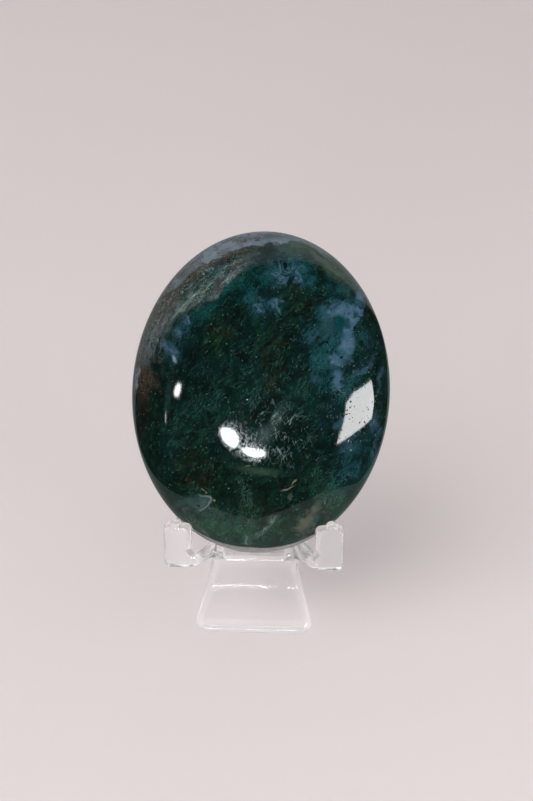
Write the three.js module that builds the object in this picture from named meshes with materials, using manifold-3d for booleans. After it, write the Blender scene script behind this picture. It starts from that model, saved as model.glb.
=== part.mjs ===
// A polished moss agate palm stone leaning in a small clear moulded display stand.
// Millimetres: +X to the right, +Y to the back, +Z up. The sizes below are in the stand's
// own frame: X is 0 on its middle plane, Y is 0 under the point where the stone touches the
// seat, and Z is 0 on the surface under the feet. The last lines move the origin to the
// middle of the whole object's underside.

import * as THREE from 'three';
import { mergeVertices } from 'three/addons/utils/BufferGeometryUtils.js';
import Module from 'manifold-3d';

const wasm = await Module();
wasm.setup();

// Stone: an oval with two equal domes, leaning back and rolled a little to the right
const STONE_WIDTH = 56.1;
const STONE_HEIGHT = 70.3;
const STONE_THICKNESS = 23;
const DOME_POWER = 2.1;
const STONE_LEAN = THREE.MathUtils.degToRad(27);
const STONE_ROLL = THREE.MathUtils.degToRad(2.9);
const STONE_CENTRE_X = 0.9;
const STONE_CENTRE_Y = 13.67;
const STONE_RINGS = 34;
const STONE_SEGMENTS = 72;

// Stand: plates of one thickness, placed by their middle lines in the side view
const PLATE = 2.2;
const SEAT_TOP = 17;
const SEAT_MIDDLE = SEAT_TOP - PLATE / 2;
const SEAT_FRONT = -0.4;
const SEAT_BACK = 7.6;
const KINK_HEIGHT = 8.2;
const TOE_SPLAY = THREE.MathUtils.degToRad(38.3);
const HEEL_SPLAY = THREE.MathUtils.degToRad(41);
const REST_LEAN = THREE.MathUtils.degToRad(34.6);
const REST_LENGTH = 21;

// Stand: half widths of its front outline, which narrows from the feet to the back rest
const FOOT_HALF = 13.05;
const FOOT_CORNER = 1.9;
const KINK_HALF = 10.75;
const SEAT_HALF = 8.9;
const TIP_HALF = 5.6;
const TIP_HEIGHT = 34;
const TIP_CORNER = 2.8;

// Arms and hooks
const ARM_BOTTOM = 16;
const ARM_TOP = 18.9;
const ARM_BACK = 2.6;
const HOOK_TOP = 27;
const HOOK_FRONT = -6.1;
const HOOK_OUTER = 19.45;
const HOOK_OUTER_BACK = -2.8;
const HOOK_INNER_FRONT = 14.8;
const HOOK_INNER_BACK = [13.5, -3.7];
const HOOK_CORNER = 1;
const HOOK_FILLET = 1.8;
const DISC_RADIUS = 1.3;
const DISC_HEIGHT = 0.8;
const DISC_CENTRE = [16.9, -4.4];

// Clearance kept between the two pieces where they touch, and length of cutting prisms
const CLEARANCE = 0.3;
const REACH = 60;
const CURVE_STEPS = 6;

const AXIS_X = new THREE.Vector3(1, 0, 0);
const AXIS_Y = new THREE.Vector3(0, 1, 0);
const AXIS_Z = new THREE.Vector3(0, 0, 1);

/** Turns a closed three.js geometry into a solid that can be joined and cut. */
function toSolid(geometry) {
  const bare = geometry.clone();
  bare.deleteAttribute('normal');
  bare.deleteAttribute('uv');
  const merged = mergeVertices(bare, 1e-5);
  const mesh = new wasm.Mesh({
    numProp: 3,
    vertProperties: new Float32Array(merged.attributes.position.array),
    triVerts: new Uint32Array(merged.index.array),
  });
  return new wasm.Manifold(mesh);
}

/** Turns a solid back into a three.js geometry. */
function toGeometry(solid) {
  const mesh = solid.getMesh();
  const geometry = new THREE.BufferGeometry();
  geometry.setAttribute('position', new THREE.BufferAttribute(mesh.vertProperties, 3));
  geometry.setIndex(new THREE.BufferAttribute(mesh.triVerts, 1));
  geometry.computeVertexNormals();
  return geometry;
}

/** Extrudes a shape and lays its x, y and depth axes along three world axes. */
function prism(shape, depth, basis, offset) {
  const options = { depth, bevelEnabled: false, curveSegments: CURVE_STEPS };
  const geometry = new THREE.ExtrudeGeometry(shape, options);
  geometry.applyMatrix4(new THREE.Matrix4().makeBasis(...basis));
  geometry.translate(...offset);
  return toSolid(geometry);
}

/** A side view shape in [y, z], as wide as the reach in X. */
function sidePrism(shape) {
  const basis = [AXIS_Y, AXIS_Z, AXIS_X];
  return prism(shape, REACH, basis, [-REACH / 2, 0, 0]);
}

/** A front view shape in [x, z], carried from the back y to the front y. */
function frontPrism(shape, frontY, backY) {
  const basis = [AXIS_X, AXIS_Z, AXIS_Y.clone().negate()];
  return prism(shape, backY - frontY, basis, [0, backY, 0]);
}

/** A plan view shape in [x, y], carried from the bottom z to the top z. */
function planPrism(shape, bottom, top) {
  const basis = [AXIS_X, AXIS_Y, AXIS_Z];
  return prism(shape, top - bottom, basis, [0, 0, bottom]);
}

/** Joins a list of solids into one. */
function joined(solids) {
  return solids.reduce((whole, solid) => whole.add(solid));
}

/** A straight plate with round ends, between two points of its middle line. */
function plateShape([y0, z0], [y1, z1]) {
  const angle = Math.atan2(z1 - z0, y1 - y0);
  const quarter = Math.PI / 2;
  const shape = new THREE.Shape();
  shape.absarc(y1, z1, PLATE / 2, angle - quarter, angle + quarter);
  shape.absarc(y0, z0, PLATE / 2, angle + quarter, angle + 3 * quarter);
  return shape;
}

/** The outline of the stand's middle from the front: splayed foot, waist and back rest. */
function middleOutline() {
  const shape = new THREE.Shape();
  shape.moveTo(0, 0);
  shape.lineTo(FOOT_HALF - FOOT_CORNER, 0);
  shape.quadraticCurveTo(FOOT_HALF, 0, FOOT_HALF, FOOT_CORNER);
  shape.lineTo(KINK_HALF, KINK_HEIGHT);
  shape.lineTo(SEAT_HALF, SEAT_TOP);
  shape.lineTo(TIP_HALF, TIP_HEIGHT - TIP_CORNER);
  shape.quadraticCurveTo(TIP_HALF, TIP_HEIGHT, TIP_HALF - TIP_CORNER, TIP_HEIGHT);
  shape.lineTo(TIP_CORNER - TIP_HALF, TIP_HEIGHT);
  shape.quadraticCurveTo(-TIP_HALF, TIP_HEIGHT, -TIP_HALF, TIP_HEIGHT - TIP_CORNER);
  shape.lineTo(-SEAT_HALF, SEAT_TOP);
  shape.lineTo(-KINK_HALF, KINK_HEIGHT);
  shape.lineTo(-FOOT_HALF, FOOT_CORNER);
  shape.quadraticCurveTo(-FOOT_HALF, 0, FOOT_CORNER - FOOT_HALF, 0);
  return shape;
}

/** The bent plates: front foot and wall, seat, rear leg and back rest, cut to the outline. */
function middle() {
  const front = [SEAT_FRONT, SEAT_MIDDLE];
  const back = [SEAT_BACK, SEAT_MIDDLE];
  const kink = [SEAT_FRONT, KINK_HEIGHT];
  const toe = [SEAT_FRONT - (KINK_HEIGHT + PLATE) * Math.tan(TOE_SPLAY), -PLATE];
  const heel = [SEAT_BACK + (SEAT_MIDDLE + PLATE) * Math.tan(HEEL_SPLAY), -PLATE];
  const restRise = REST_LENGTH * Math.cos(REST_LEAN);
  const tip = [SEAT_BACK + REST_LENGTH * Math.sin(REST_LEAN), SEAT_MIDDLE + restRise];
  const plates = [
    plateShape(toe, kink),
    plateShape(kink, front),
    plateShape(front, back),
    plateShape(back, heel),
    plateShape(back, tip),
  ];
  return joined(plates.map(sidePrism)).intersect(frontPrism(middleOutline(), -REACH / 2, REACH / 2));
}

/** A plan outline from [x, y] points of the right side; side -1 mirrors it to the left. */
function planShape(points, side) {
  return new THREE.Shape(points.map(([x, y]) => new THREE.Vector2(side * x, y)));
}

/** The plan of an arm: from the seat's side, slanting forward to under the hook. */
function armPlan(side) {
  const wall = SEAT_FRONT - PLATE / 2;
  const points = [
    [SEAT_HALF - PLATE, wall],
    [SEAT_HALF - PLATE / 4, wall],
    [HOOK_INNER_FRONT - 2 * HOOK_CORNER, HOOK_FRONT],
    [HOOK_OUTER - HOOK_CORNER, HOOK_FRONT],
    [HOOK_OUTER, HOOK_FRONT + HOOK_CORNER],
    [HOOK_OUTER, HOOK_OUTER_BACK],
    HOOK_INNER_BACK,
    [SEAT_HALF, ARM_BACK],
    [SEAT_HALF - PLATE, ARM_BACK],
  ];
  return planShape(points, side);
}

/** The plan of a hook's post: wider at its back, towards the middle of the stand. */
function postPlan(side) {
  const points = [
    [HOOK_INNER_FRONT + HOOK_CORNER / 2, HOOK_FRONT],
    [HOOK_OUTER - HOOK_CORNER, HOOK_FRONT],
    [HOOK_OUTER, HOOK_FRONT + HOOK_CORNER],
    [HOOK_OUTER, HOOK_OUTER_BACK],
    HOOK_INNER_BACK,
    [HOOK_INNER_FRONT, HOOK_FRONT + HOOK_CORNER / 2],
  ];
  return planShape(points, side);
}

/** The arm from the front: it rises from the seat and sweeps up into the hook's post. */
function armOutline(side) {
  const root = SEAT_HALF - PLATE;
  const sweepStart = HOOK_INNER_FRONT - HOOK_FILLET - HOOK_CORNER;
  const shape = new THREE.Shape();
  shape.moveTo(side * root, SEAT_TOP - PLATE);
  shape.lineTo(side * sweepStart, ARM_BOTTOM);
  shape.lineTo(side * (HOOK_OUTER - HOOK_CORNER), ARM_BOTTOM);
  shape.quadraticCurveTo(side * HOOK_OUTER, ARM_BOTTOM, side * HOOK_OUTER, ARM_BOTTOM + HOOK_CORNER);
  shape.lineTo(side * HOOK_OUTER, ARM_TOP + HOOK_FILLET);
  shape.lineTo(side * HOOK_INNER_FRONT, ARM_TOP + HOOK_FILLET);
  shape.quadraticCurveTo(side * (HOOK_INNER_FRONT - HOOK_CORNER), ARM_TOP, side * sweepStart, ARM_TOP);
  shape.lineTo(side * root, SEAT_TOP);
  return shape;
}

/** The hook's post from the front: a block with round corners. */
function postOutline(side) {
  const inner = HOOK_INNER_BACK[0];
  const shape = new THREE.Shape();
  shape.moveTo(side * inner, ARM_BOTTOM);
  shape.lineTo(side * (HOOK_OUTER - HOOK_CORNER), ARM_BOTTOM);
  shape.quadraticCurveTo(side * HOOK_OUTER, ARM_BOTTOM, side * HOOK_OUTER, ARM_BOTTOM + HOOK_CORNER);
  shape.lineTo(side * HOOK_OUTER, HOOK_TOP - HOOK_CORNER);
  shape.quadraticCurveTo(side * HOOK_OUTER, HOOK_TOP, side * (HOOK_OUTER - HOOK_CORNER), HOOK_TOP);
  shape.lineTo(side * (inner + HOOK_CORNER), HOOK_TOP);
  shape.quadraticCurveTo(side * inner, HOOK_TOP, side * inner, HOOK_TOP - HOOK_CORNER);
  return shape;
}

/** One arm with its hook and the small round disc on the hook's top. */
function armWithHook(side) {
  const front = HOOK_FRONT - PLATE;
  const back = ARM_BACK + PLATE;
  const postFront = frontPrism(postOutline(side), front, back);
  const armFront = frontPrism(armOutline(side), front, back);
  const post = planPrism(postPlan(side), 0, HOOK_TOP + PLATE).intersect(postFront);
  const arm = planPrism(armPlan(side), 0, HOOK_TOP).intersect(armFront);
  const disc = new THREE.CylinderGeometry(DISC_RADIUS, DISC_RADIUS, 2 * DISC_HEIGHT, 4 * CURVE_STEPS);
  disc.rotateX(Math.PI / 2);
  disc.translate(side * DISC_CENTRE[0], DISC_CENTRE[1], HOOK_TOP);
  return joined([arm, post, toSolid(disc)]);
}

/** The whole display stand: one moulding. */
function displayStand() {
  const solid = joined([middle(), armWithHook(1), armWithHook(-1)]);
  const material = new THREE.MeshStandardMaterial({
    color: 0xe9e6e8,
    roughness: 0.08,
    metalness: 0,
    transparent: true,
    opacity: 0.35,
    flatShading: true,
  });
  const mesh = new THREE.Mesh(toGeometry(solid), material);
  mesh.name = 'display_stand';
  return mesh;
}

/** The stone's half section: a superellipse from its front pole to its back pole. */
function domeProfile() {
  const profile = [];
  for (let i = 0; i <= STONE_RINGS; i++) {
    const angle = (Math.PI * i) / STONE_RINGS;
    const reach = Math.abs(Math.sin(angle)) ** (2 / DOME_POWER);
    const depth = Math.sign(Math.cos(angle)) * Math.abs(Math.cos(angle)) ** (2 / DOME_POWER);
    const radius = i === 0 || i === STONE_RINGS ? 0 : (reach * STONE_HEIGHT) / 2;
    profile.push(new THREE.Vector2(radius, (-depth * STONE_THICKNESS) / 2));
  }
  return profile;
}

/** The polished stone, turned about its own thickness and then squeezed to its width. */
function mossAgate() {
  const turned = new THREE.LatheGeometry(domeProfile(), STONE_SEGMENTS);
  turned.scale(STONE_WIDTH / STONE_HEIGHT, 1, 1);
  turned.rotateY(STONE_ROLL);
  turned.rotateX(-STONE_LEAN);
  turned.computeBoundingBox();
  const lift = SEAT_TOP + CLEARANCE - turned.boundingBox.min.z;
  const material = new THREE.MeshStandardMaterial({ color: 0x12302a, roughness: 0.06, metalness: 0 });
  const mesh = new THREE.Mesh(toGeometry(toSolid(turned)), material);
  mesh.name = 'moss_agate';
  mesh.position.set(STONE_CENTRE_X, STONE_CENTRE_Y, lift);
  return mesh;
}

const model = new THREE.Group();
model.add(displayStand(), mossAgate());
const box = new THREE.Box3().setFromObject(model, true);
const middlePoint = box.getCenter(new THREE.Vector3());
model.position.set(-middlePoint.x, -middlePoint.y, -box.min.z);
model.updateMatrixWorld(true);

export default model;
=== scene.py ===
"""A polished moss agate palm stone leaning in a clear moulded display stand.

Lengths in the classes are millimetres in the stand's own frame: X is 0 on its middle plane,
Y is 0 under the point where the stone rests on the seat, and Z is 0 under the feet. Meshes
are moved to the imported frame, in metres, as they are made.
"""

import logging
import math
from dataclasses import dataclass
from enum import Enum

import bpy
import numpy as np
from mathutils import Euler, Matrix, Vector


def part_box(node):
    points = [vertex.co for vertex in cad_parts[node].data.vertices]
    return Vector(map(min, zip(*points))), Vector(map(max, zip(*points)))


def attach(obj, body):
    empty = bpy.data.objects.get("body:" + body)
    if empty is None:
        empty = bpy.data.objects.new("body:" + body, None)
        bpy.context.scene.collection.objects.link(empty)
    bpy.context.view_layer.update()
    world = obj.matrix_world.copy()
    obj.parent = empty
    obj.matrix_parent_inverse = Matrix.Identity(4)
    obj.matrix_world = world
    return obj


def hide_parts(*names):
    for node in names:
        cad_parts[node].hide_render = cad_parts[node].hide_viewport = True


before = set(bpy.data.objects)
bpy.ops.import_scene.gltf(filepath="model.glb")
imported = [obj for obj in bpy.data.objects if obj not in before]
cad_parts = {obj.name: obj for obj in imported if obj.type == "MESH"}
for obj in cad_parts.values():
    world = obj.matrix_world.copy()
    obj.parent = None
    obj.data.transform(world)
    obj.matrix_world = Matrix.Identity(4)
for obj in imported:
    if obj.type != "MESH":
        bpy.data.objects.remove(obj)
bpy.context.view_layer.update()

LOG = logging.getLogger("moss_agate_scene")
MM = 0.001
BODY = "root"
CORNER_POINTS = 6
LINE_CORNER_POINTS = 16
MOST_CORNER = 0.98
MOST_REACH = 0.45
VECTOR = "NodeSocketVector"
NUMBER = "NodeSocketFloat"

Colour = tuple[float, float, float]
Socket = bpy.types.NodeSocket


class Node(Enum):
    """The CAD nodes, by name."""

    STAND = "display_stand"
    STONE = "moss_agate"


class Slot(Enum):
    """The record's material slots."""

    PLASTIC = "clear_plastic"
    AGATE = "agate"


class Blend(Enum):
    """How one colour is laid over another."""

    MIX = "MIX"
    MULTIPLY = "MULTIPLY"


# Helpers that turn arrays into meshes


def closed_loft(rings: np.ndarray) -> tuple[np.ndarray, list]:
    """Joins rings of points into a closed skin with a flat cap at each end.

    Point (i, j) of the grid is joined to (i+1, j) and (i, j+1), with j running round.

    Args:
        rings: Points with the shape (rings, points in a ring, 3).

    Returns:
        The points as one list, and the faces as lists of point numbers.
    """
    count, around = rings.shape[:2]
    row = np.arange(count - 1)[:, None] * around
    here = np.arange(around)[None, :]
    there = (here + 1) % around
    corners = [row + here, row + there, row + around + there, row + around + here]
    quads = np.stack(corners, axis=-1).reshape(-1, 4)
    first = np.arange(around)[::-1]
    last = np.arange(around) + (count - 1) * around
    return rings.reshape(-1, 3), quads.tolist() + [first.tolist(), last.tolist()]


def rounded_box_ring(half_wide: np.ndarray, half_deep: np.ndarray, corner: float) -> np.ndarray:
    """The outline of a rectangle with round corners, one for each pair of half sizes.

    A point is the corner's centre, (half size - corner) with the signs of its quadrant, plus
    the corner radius times the cosine and sine of an angle that runs once round.

    Args:
        half_wide: Half widths along the path.
        half_deep: Half depths along the path.
        corner: Corner radius, made smaller where a half size is smaller.

    Returns:
        Points with the shape (path points, 4 * points in a corner, 2).
    """
    quadrant = np.repeat(np.arange(4), CORNER_POINTS)
    angle = (quadrant + np.tile(np.linspace(0, 1, CORNER_POINTS), 4)) * math.pi / 2
    side = np.array([[1, 1], [-1, 1], [-1, -1], [1, -1]])[quadrant]
    half = np.stack([half_wide, half_deep], axis=-1)[:, None, :]
    radius = np.minimum(corner, half.min(axis=-1, keepdims=True) * MOST_CORNER)
    turn = np.stack([np.cos(angle), np.sin(angle)], axis=-1)[None, :, :]
    return side[None, :, :] * (half - radius) + radius * turn


def corner_curves(start: np.ndarray, corner: np.ndarray, end: np.ndarray, steps: int) -> np.ndarray:
    """Quadratic curves round corners: (1-t)^2 start + 2t(1-t) corner + t^2 end, t from 0 to 1.

    Args:
        start: Where each curve starts, with the shape (corners, 2).
        corner: The corners.
        end: Where each curve ends.
        steps: Points in each curve.

    Returns:
        Points with the shape (corners * steps, 2).
    """
    t = np.linspace(0, 1, steps)[None, :, None]
    curve = (1 - t) ** 2 * start[:, None] + 2 * t * (1 - t) * corner[:, None] + t**2 * end[:, None]
    return curve.reshape(-1, 2)


def rounded_outline(points: np.ndarray, corner: float) -> np.ndarray:
    """A closed outline whose corners are rounded by quadratic curves.

    Each curve starts and ends a corner's length along the two sides that meet there, or a
    little under half a side where that is less.

    Args:
        points: Corner points with the shape (corners, 2).
        corner: Length that is taken off each side.

    Returns:
        Points with the shape (corners * points in a corner, 2).
    """
    before = np.roll(points, 1, axis=0) - points
    after = np.roll(points, -1, axis=0) - points
    reach_before = np.minimum(corner, np.linalg.norm(before, axis=1) * MOST_REACH)[:, None]
    reach_after = np.minimum(corner, np.linalg.norm(after, axis=1) * MOST_REACH)[:, None]
    start = points + before / np.linalg.norm(before, axis=1)[:, None] * reach_before
    end = points + after / np.linalg.norm(after, axis=1)[:, None] * reach_after
    return corner_curves(start, points, end, CORNER_POINTS)


def rounded_line(points: np.ndarray, reach: float, step: float) -> np.ndarray:
    """An open line whose inner corners are quadratic curves, in even steps.

    Each curve starts and ends a reach along the two sides that meet there.

    Args:
        points: The line's corners with the shape (corners, 2).
        reach: Length that is taken off each side of an inner corner.
        step: Distance between the points that come out.

    Returns:
        Points with the shape (steps, 2).
    """
    corner = points[1:-1]
    before, after = points[:-2] - corner, points[2:] - corner
    start = corner + before / np.linalg.norm(before, axis=1)[:, None] * reach
    end = corner + after / np.linalg.norm(after, axis=1)[:, None] * reach
    curve = corner_curves(start, corner, end, LINE_CORNER_POINTS)
    line = np.concatenate([points[:1], curve, points[-1:]])
    run = np.concatenate([[0], np.cumsum(np.linalg.norm(np.diff(line, axis=0), axis=1))])
    even = np.arange(0, run[-1], step)
    return np.stack([np.interp(even, run, line[:, 0]), np.interp(even, run, line[:, 1])], axis=-1)


def eased(x: np.ndarray, start: float, end: float) -> np.ndarray:
    """A share that goes from 0 at the start to 1 at the end as 3t^2 - 2t^3."""
    t = np.clip((x - start) / (end - start), 0, 1)
    return t * t * (3 - 2 * t)


def placed(name: str, data: bpy.types.ID) -> bpy.types.Object:
    """A new object at the origin with this data, linked to the scene.

    Args:
        name: The object's name.
        data: Its mesh, lamp or camera.

    Returns:
        The object.
    """
    made = bpy.data.objects.new(name, data)
    bpy.context.scene.collection.objects.link(made)
    return made


def mesh_object(name: str, points: np.ndarray, faces: list, smooth: bool = True) -> bpy.types.Object:
    """Makes a mesh object at the origin from points and faces.

    Args:
        name: The object's name.
        points: Points with the shape (count, 3).
        faces: Lists of point numbers.
        smooth: Whether the faces are shaded smooth.

    Returns:
        The new object, linked to the scene.
    """
    mesh = bpy.data.meshes.new(name)
    mesh.from_pydata(points.tolist(), [], faces)
    mesh.update()
    mesh.polygons.foreach_set("use_smooth", np.full(len(mesh.polygons), smooth))
    return placed(name, mesh)


def joined_parts(parts: list) -> tuple[np.ndarray, list]:
    """Puts several (points, faces) pairs into one list of points and one of faces.

    Args:
        parts: The pairs.

    Returns:
        The points and the faces.
    """
    points, faces, start = [], [], 0
    for part_points, part_faces in parts:
        points.append(part_points)
        faces.extend([[start + index for index in face] for face in part_faces])
        start += len(part_points)
    return np.concatenate(points), faces


# Helpers for materials


@dataclass
class Graph:
    """Adds nodes to a node tree and joins them up."""

    tree: bpy.types.NodeTree

    def feed(self, socket: Socket, value: object) -> None:
        """Links the value if it is a socket, and else sets it as the socket's own value.

        Args:
            socket: The input to feed.
            value: A socket, a number or several numbers.
        """
        if isinstance(value, Socket):
            self.tree.links.new(value, socket)
        elif socket.type == "RGBA" and len(value) == 3:
            socket.default_value = (*value, 1.0)
        else:
            socket.default_value = value

    def node(self, kind: str, options: dict | None = None, **inputs: object) -> bpy.types.Node:
        """Adds a node.

        Args:
            kind: Blender's name for the node.
            options: Settings of the node itself.
            inputs: Values or sockets for its inputs, with _ for a space in a name.

        Returns:
            The new node.
        """
        made = self.tree.nodes.new(kind)
        for key, value in (options or {}).items():
            setattr(made, key, value)
        for key, value in inputs.items():
            self.feed(made.inputs[key.replace("_", " ")], value)
        return made

    def in_order(self, kind: str, setting: str, choice: str, values: tuple) -> bpy.types.Node:
        """Adds a node and feeds its inputs in their own order.

        Args:
            kind: Blender's name for the node.
            setting: The name of the node's one setting.
            choice: What the setting is put to.
            values: Values or sockets for the first inputs.

        Returns:
            The new node.
        """
        made = self.node(kind, {setting: choice})
        for socket, value in zip(made.inputs, values):
            self.feed(socket, value)
        return made

    def math(self, operation: str, *values: object) -> Socket:
        """Works out one number from the given ones."""
        return self.in_order("ShaderNodeMath", "operation", operation, values).outputs[0]

    def product(self, *values: object) -> Socket:
        """Multiplies all the given numbers or sockets together.

        Args:
            values: What is multiplied.

        Returns:
            The product.
        """
        whole = values[0]
        for value in values[1:]:
            whole = self.math("MULTIPLY", whole, value)
        return whole

    def less(self, whole: object, part: object) -> Socket:
        """The whole less the part."""
        return self.math("SUBTRACT", whole, part)

    def vector_math(self, operation: str, *values: object) -> Socket:
        """Works out a vector, or a length or dot product, from the given ones."""
        made = self.in_order("ShaderNodeVectorMath", "operation", operation, values)
        return made.outputs["Value" if operation in ("LENGTH", "DOT_PRODUCT") else "Vector"]

    def turned(self, vector: object, angle: object) -> Socket:
        """The vector turned by the angle about the depth axis."""
        made = self.node("ShaderNodeVectorRotate", {"rotation_type": "Y_AXIS"}, Vector=vector, Angle=angle)
        return made.outputs["Vector"]

    def axes(self, vector: object) -> tuple[Socket, Socket, Socket]:
        """The vector's X, Y and Z."""
        return tuple(self.node("ShaderNodeSeparateXYZ", Vector=vector).outputs)

    def ramp(self, value: object, low: float, high: float, start: float = 0.0, end: float = 1.0) -> Socket:
        """A smooth step from start to end, as the value goes from low to high.

        Args:
            value: What is read.
            low: The value at which the step starts.
            high: The value at which the step ends.
            start: What comes out at low and beyond it.
            end: What comes out at high and beyond it.

        Returns:
            The step's output.
        """
        numbers = (value, low, high, start, end)
        return self.in_order("ShaderNodeMapRange", "interpolation_type", "SMOOTHSTEP", numbers).outputs[0]

    def paint(self, mask: object, under: object, over: object, blend: Blend = Blend.MIX) -> Socket:
        """Lays one colour over another through a mask.

        Args:
            mask: 0 keeps the colour under, and 1 shows the colour over.
            under: The colour so far.
            over: The colour that is laid over it.
            blend: How the two are put together.

        Returns:
            The new colour.
        """
        made = self.node("ShaderNodeMix", {"data_type": "RGBA", "blend_type": blend.value})
        ids = {socket.identifier: socket for socket in made.inputs}
        self.feed(ids["Factor_Float"], mask)
        self.feed(ids["A_Color"], under)
        self.feed(ids["B_Color"], over)
        return next(s for s in made.outputs if s.identifier == "Result_Color")

    def noise(
        self, vector: object, scale: object, detail: object = 4.0, rough: float = 0.5, bend: object = 0.0
    ) -> Socket:
        """Cloudy noise between 0 and 1, around 0.5.

        Args:
            vector: Where it is read.
            scale: Clouds for each unit of length.
            detail: How many finer layers are added.
            rough: How strong the finer layers are.
            bend: How far the clouds are bent.

        Returns:
            The noise value.
        """
        inputs = {"Vector": vector, "Scale": scale, "Detail": detail, "Roughness": rough, "Distortion": bend}
        return self.node("ShaderNodeTexNoise", **inputs).outputs["Fac"]

    def group(self, tree: bpy.types.NodeTree, **inputs: object) -> Socket:
        """Places a node group, feeds its inputs and gives its first output."""
        return self.node("ShaderNodeGroup", {"node_tree": tree}, **inputs).outputs[0]


def cleared_graph(owner: bpy.types.Material | bpy.types.World) -> Graph:
    """Empties the node tree of a material or world and gives a graph to fill it.

    Args:
        owner: The material or world.

    Returns:
        The graph.
    """
    owner.use_nodes = True
    owner.node_tree.nodes.clear()
    return Graph(owner.node_tree)


def blank_material(name: str) -> tuple[bpy.types.Material, Graph, bpy.types.Node, bpy.types.Node]:
    """Starts a material with one Principled shader.

    Args:
        name: The material's name.

    Returns:
        The material, its graph, the shader and the output node.
    """
    material = bpy.data.materials.new(name)
    graph = cleared_graph(material)
    shader = graph.node("ShaderNodeBsdfPrincipled")
    output = graph.node("ShaderNodeOutputMaterial", Surface=shader.outputs["BSDF"])
    return material, graph, shader, output


def new_group(name: str, output: tuple[str, str], inputs: dict) -> tuple[Graph, dict, Socket]:
    """Starts a shader node group.

    Args:
        name: The group's name.
        output: Name and socket kind of its output.
        inputs: Name of each input, with its value when nothing feeds it: a number, a vector, or
            None for a vector that is always fed.

    Returns:
        The graph to add nodes to, the inputs by name, and the socket to feed at the end.
    """
    tree = bpy.data.node_groups.new(name, "ShaderNodeTree")
    tree.interface.new_socket(output[0], in_out="OUTPUT", socket_type=output[1])
    for key, value in inputs.items():
        kind = NUMBER if isinstance(value, float) else VECTOR
        socket = tree.interface.new_socket(key, in_out="INPUT", socket_type=kind)
        if value is not None:
            socket.default_value = value
    entry = tree.nodes.new("NodeGroupInput")
    leave = tree.nodes.new("NodeGroupOutput")
    return Graph(tree), dict(entry.outputs.items()), leave.inputs[0]


def drift_group() -> bpy.types.NodeTree:
    """Moves the place where a pattern is read by soft noise, so straight edges wander.

    Returns:
        The group, with the output Place.
    """
    inputs = {"Place": None, "Scale": 0.1, "Amount": 2.0}
    graph, given, result = new_group("drift", ("Place", VECTOR), inputs)
    reading = {"Vector": given["Place"], "Scale": given["Scale"], "Detail": 3.0, "Roughness": 0.55}
    cloud = graph.node("ShaderNodeTexNoise", **reading)
    centred = graph.vector_math("SUBTRACT", cloud.outputs["Color"], (0.5, 0.5, 0.5))
    scaled = graph.node("ShaderNodeVectorMath", {"operation": "SCALE"}, Vector=centred, Scale=given["Amount"])
    graph.feed(result, graph.vector_math("ADD", given["Place"], scaled.outputs["Vector"]))
    return graph.tree


def patch_group() -> bpy.types.NodeTree:
    """A mask that is 1 inside a turned oval patch and fades over its edge.

    Returns:
        The group, with the output Mask.
    """
    inputs = {
        "Place": None,
        "Centre": (0.0, 0.0, 0.0),
        "Half Size": (5.0, 5.0, 5.0),
        "Turn": 0.0,
        "Ragged": 0.0,
        "Edge": 0.2,
    }
    graph, given, result = new_group("patch", ("Mask", NUMBER), inputs)
    offset = graph.vector_math("SUBTRACT", given["Place"], given["Centre"])
    unit = graph.vector_math("DIVIDE", graph.turned(offset, given["Turn"]), given["Half Size"])
    reach = graph.math("ADD", graph.vector_math("LENGTH", unit), given["Ragged"])
    outer = graph.math("ADD", 1.0, given["Edge"])
    graph.feed(result, graph.ramp(reach, graph.less(1.0, given["Edge"]), outer, 1.0, 0.0))
    return graph.tree


def drawn_place(graph: Graph, given: dict) -> Socket:
    """The Place turned by Turn about the depth axis, and then drawn out by Stretch."""
    drawn = graph.node("ShaderNodeCombineXYZ", X=1.0, Y=1.0, Z=given["Stretch"])
    return graph.vector_math("MULTIPLY", graph.turned(given["Place"], given["Turn"]), drawn.outputs["Vector"])


def threads_group() -> bpy.types.NodeTree:
    """A mask of thin wandering threads: the places where stretched noise is close to its middle.

    Returns:
        The group, with the output Mask.
    """
    inputs = {
        "Place": None,
        "Turn": 0.0,
        "Stretch": 1.0,
        "Scale": 0.3,
        "Width": 0.03,
        "Curl": 0.6,
        "Detail": 5.0,
    }
    graph, given, result = new_group("threads", ("Mask", NUMBER), inputs)
    cloud = graph.noise(drawn_place(graph, given), given["Scale"], given["Detail"], 0.6, given["Curl"])
    distance = graph.math("ABSOLUTE", graph.less(cloud, 0.5))
    graph.feed(result, graph.ramp(distance, 0.0, given["Width"], 1.0, 0.0))
    return graph.tree


def strands_group() -> bpy.types.NodeTree:
    """A mask of long strands side by side: height lines of smooth stretched noise.

    The noise times Count goes up and down between 0 and 1, and a strand is where it is near 0.

    Returns:
        The group, with the output Mask.
    """
    inputs = {
        "Place": None,
        "Turn": 0.0,
        "Stretch": 0.4,
        "Scale": 0.16,
        "Count": 10.0,
        "Width": 0.4,
        "Detail": 2.0,
    }
    graph, given, result = new_group("strands", ("Mask", NUMBER), inputs)
    cloud = graph.noise(drawn_place(graph, given), given["Scale"], given["Detail"], 0.5, 0.4)
    waves = graph.math("PINGPONG", graph.product(cloud, given["Count"]), 1.0)
    graph.feed(result, graph.ramp(waves, 0.0, given["Width"], 1.0, 0.0))
    return graph.tree


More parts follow.
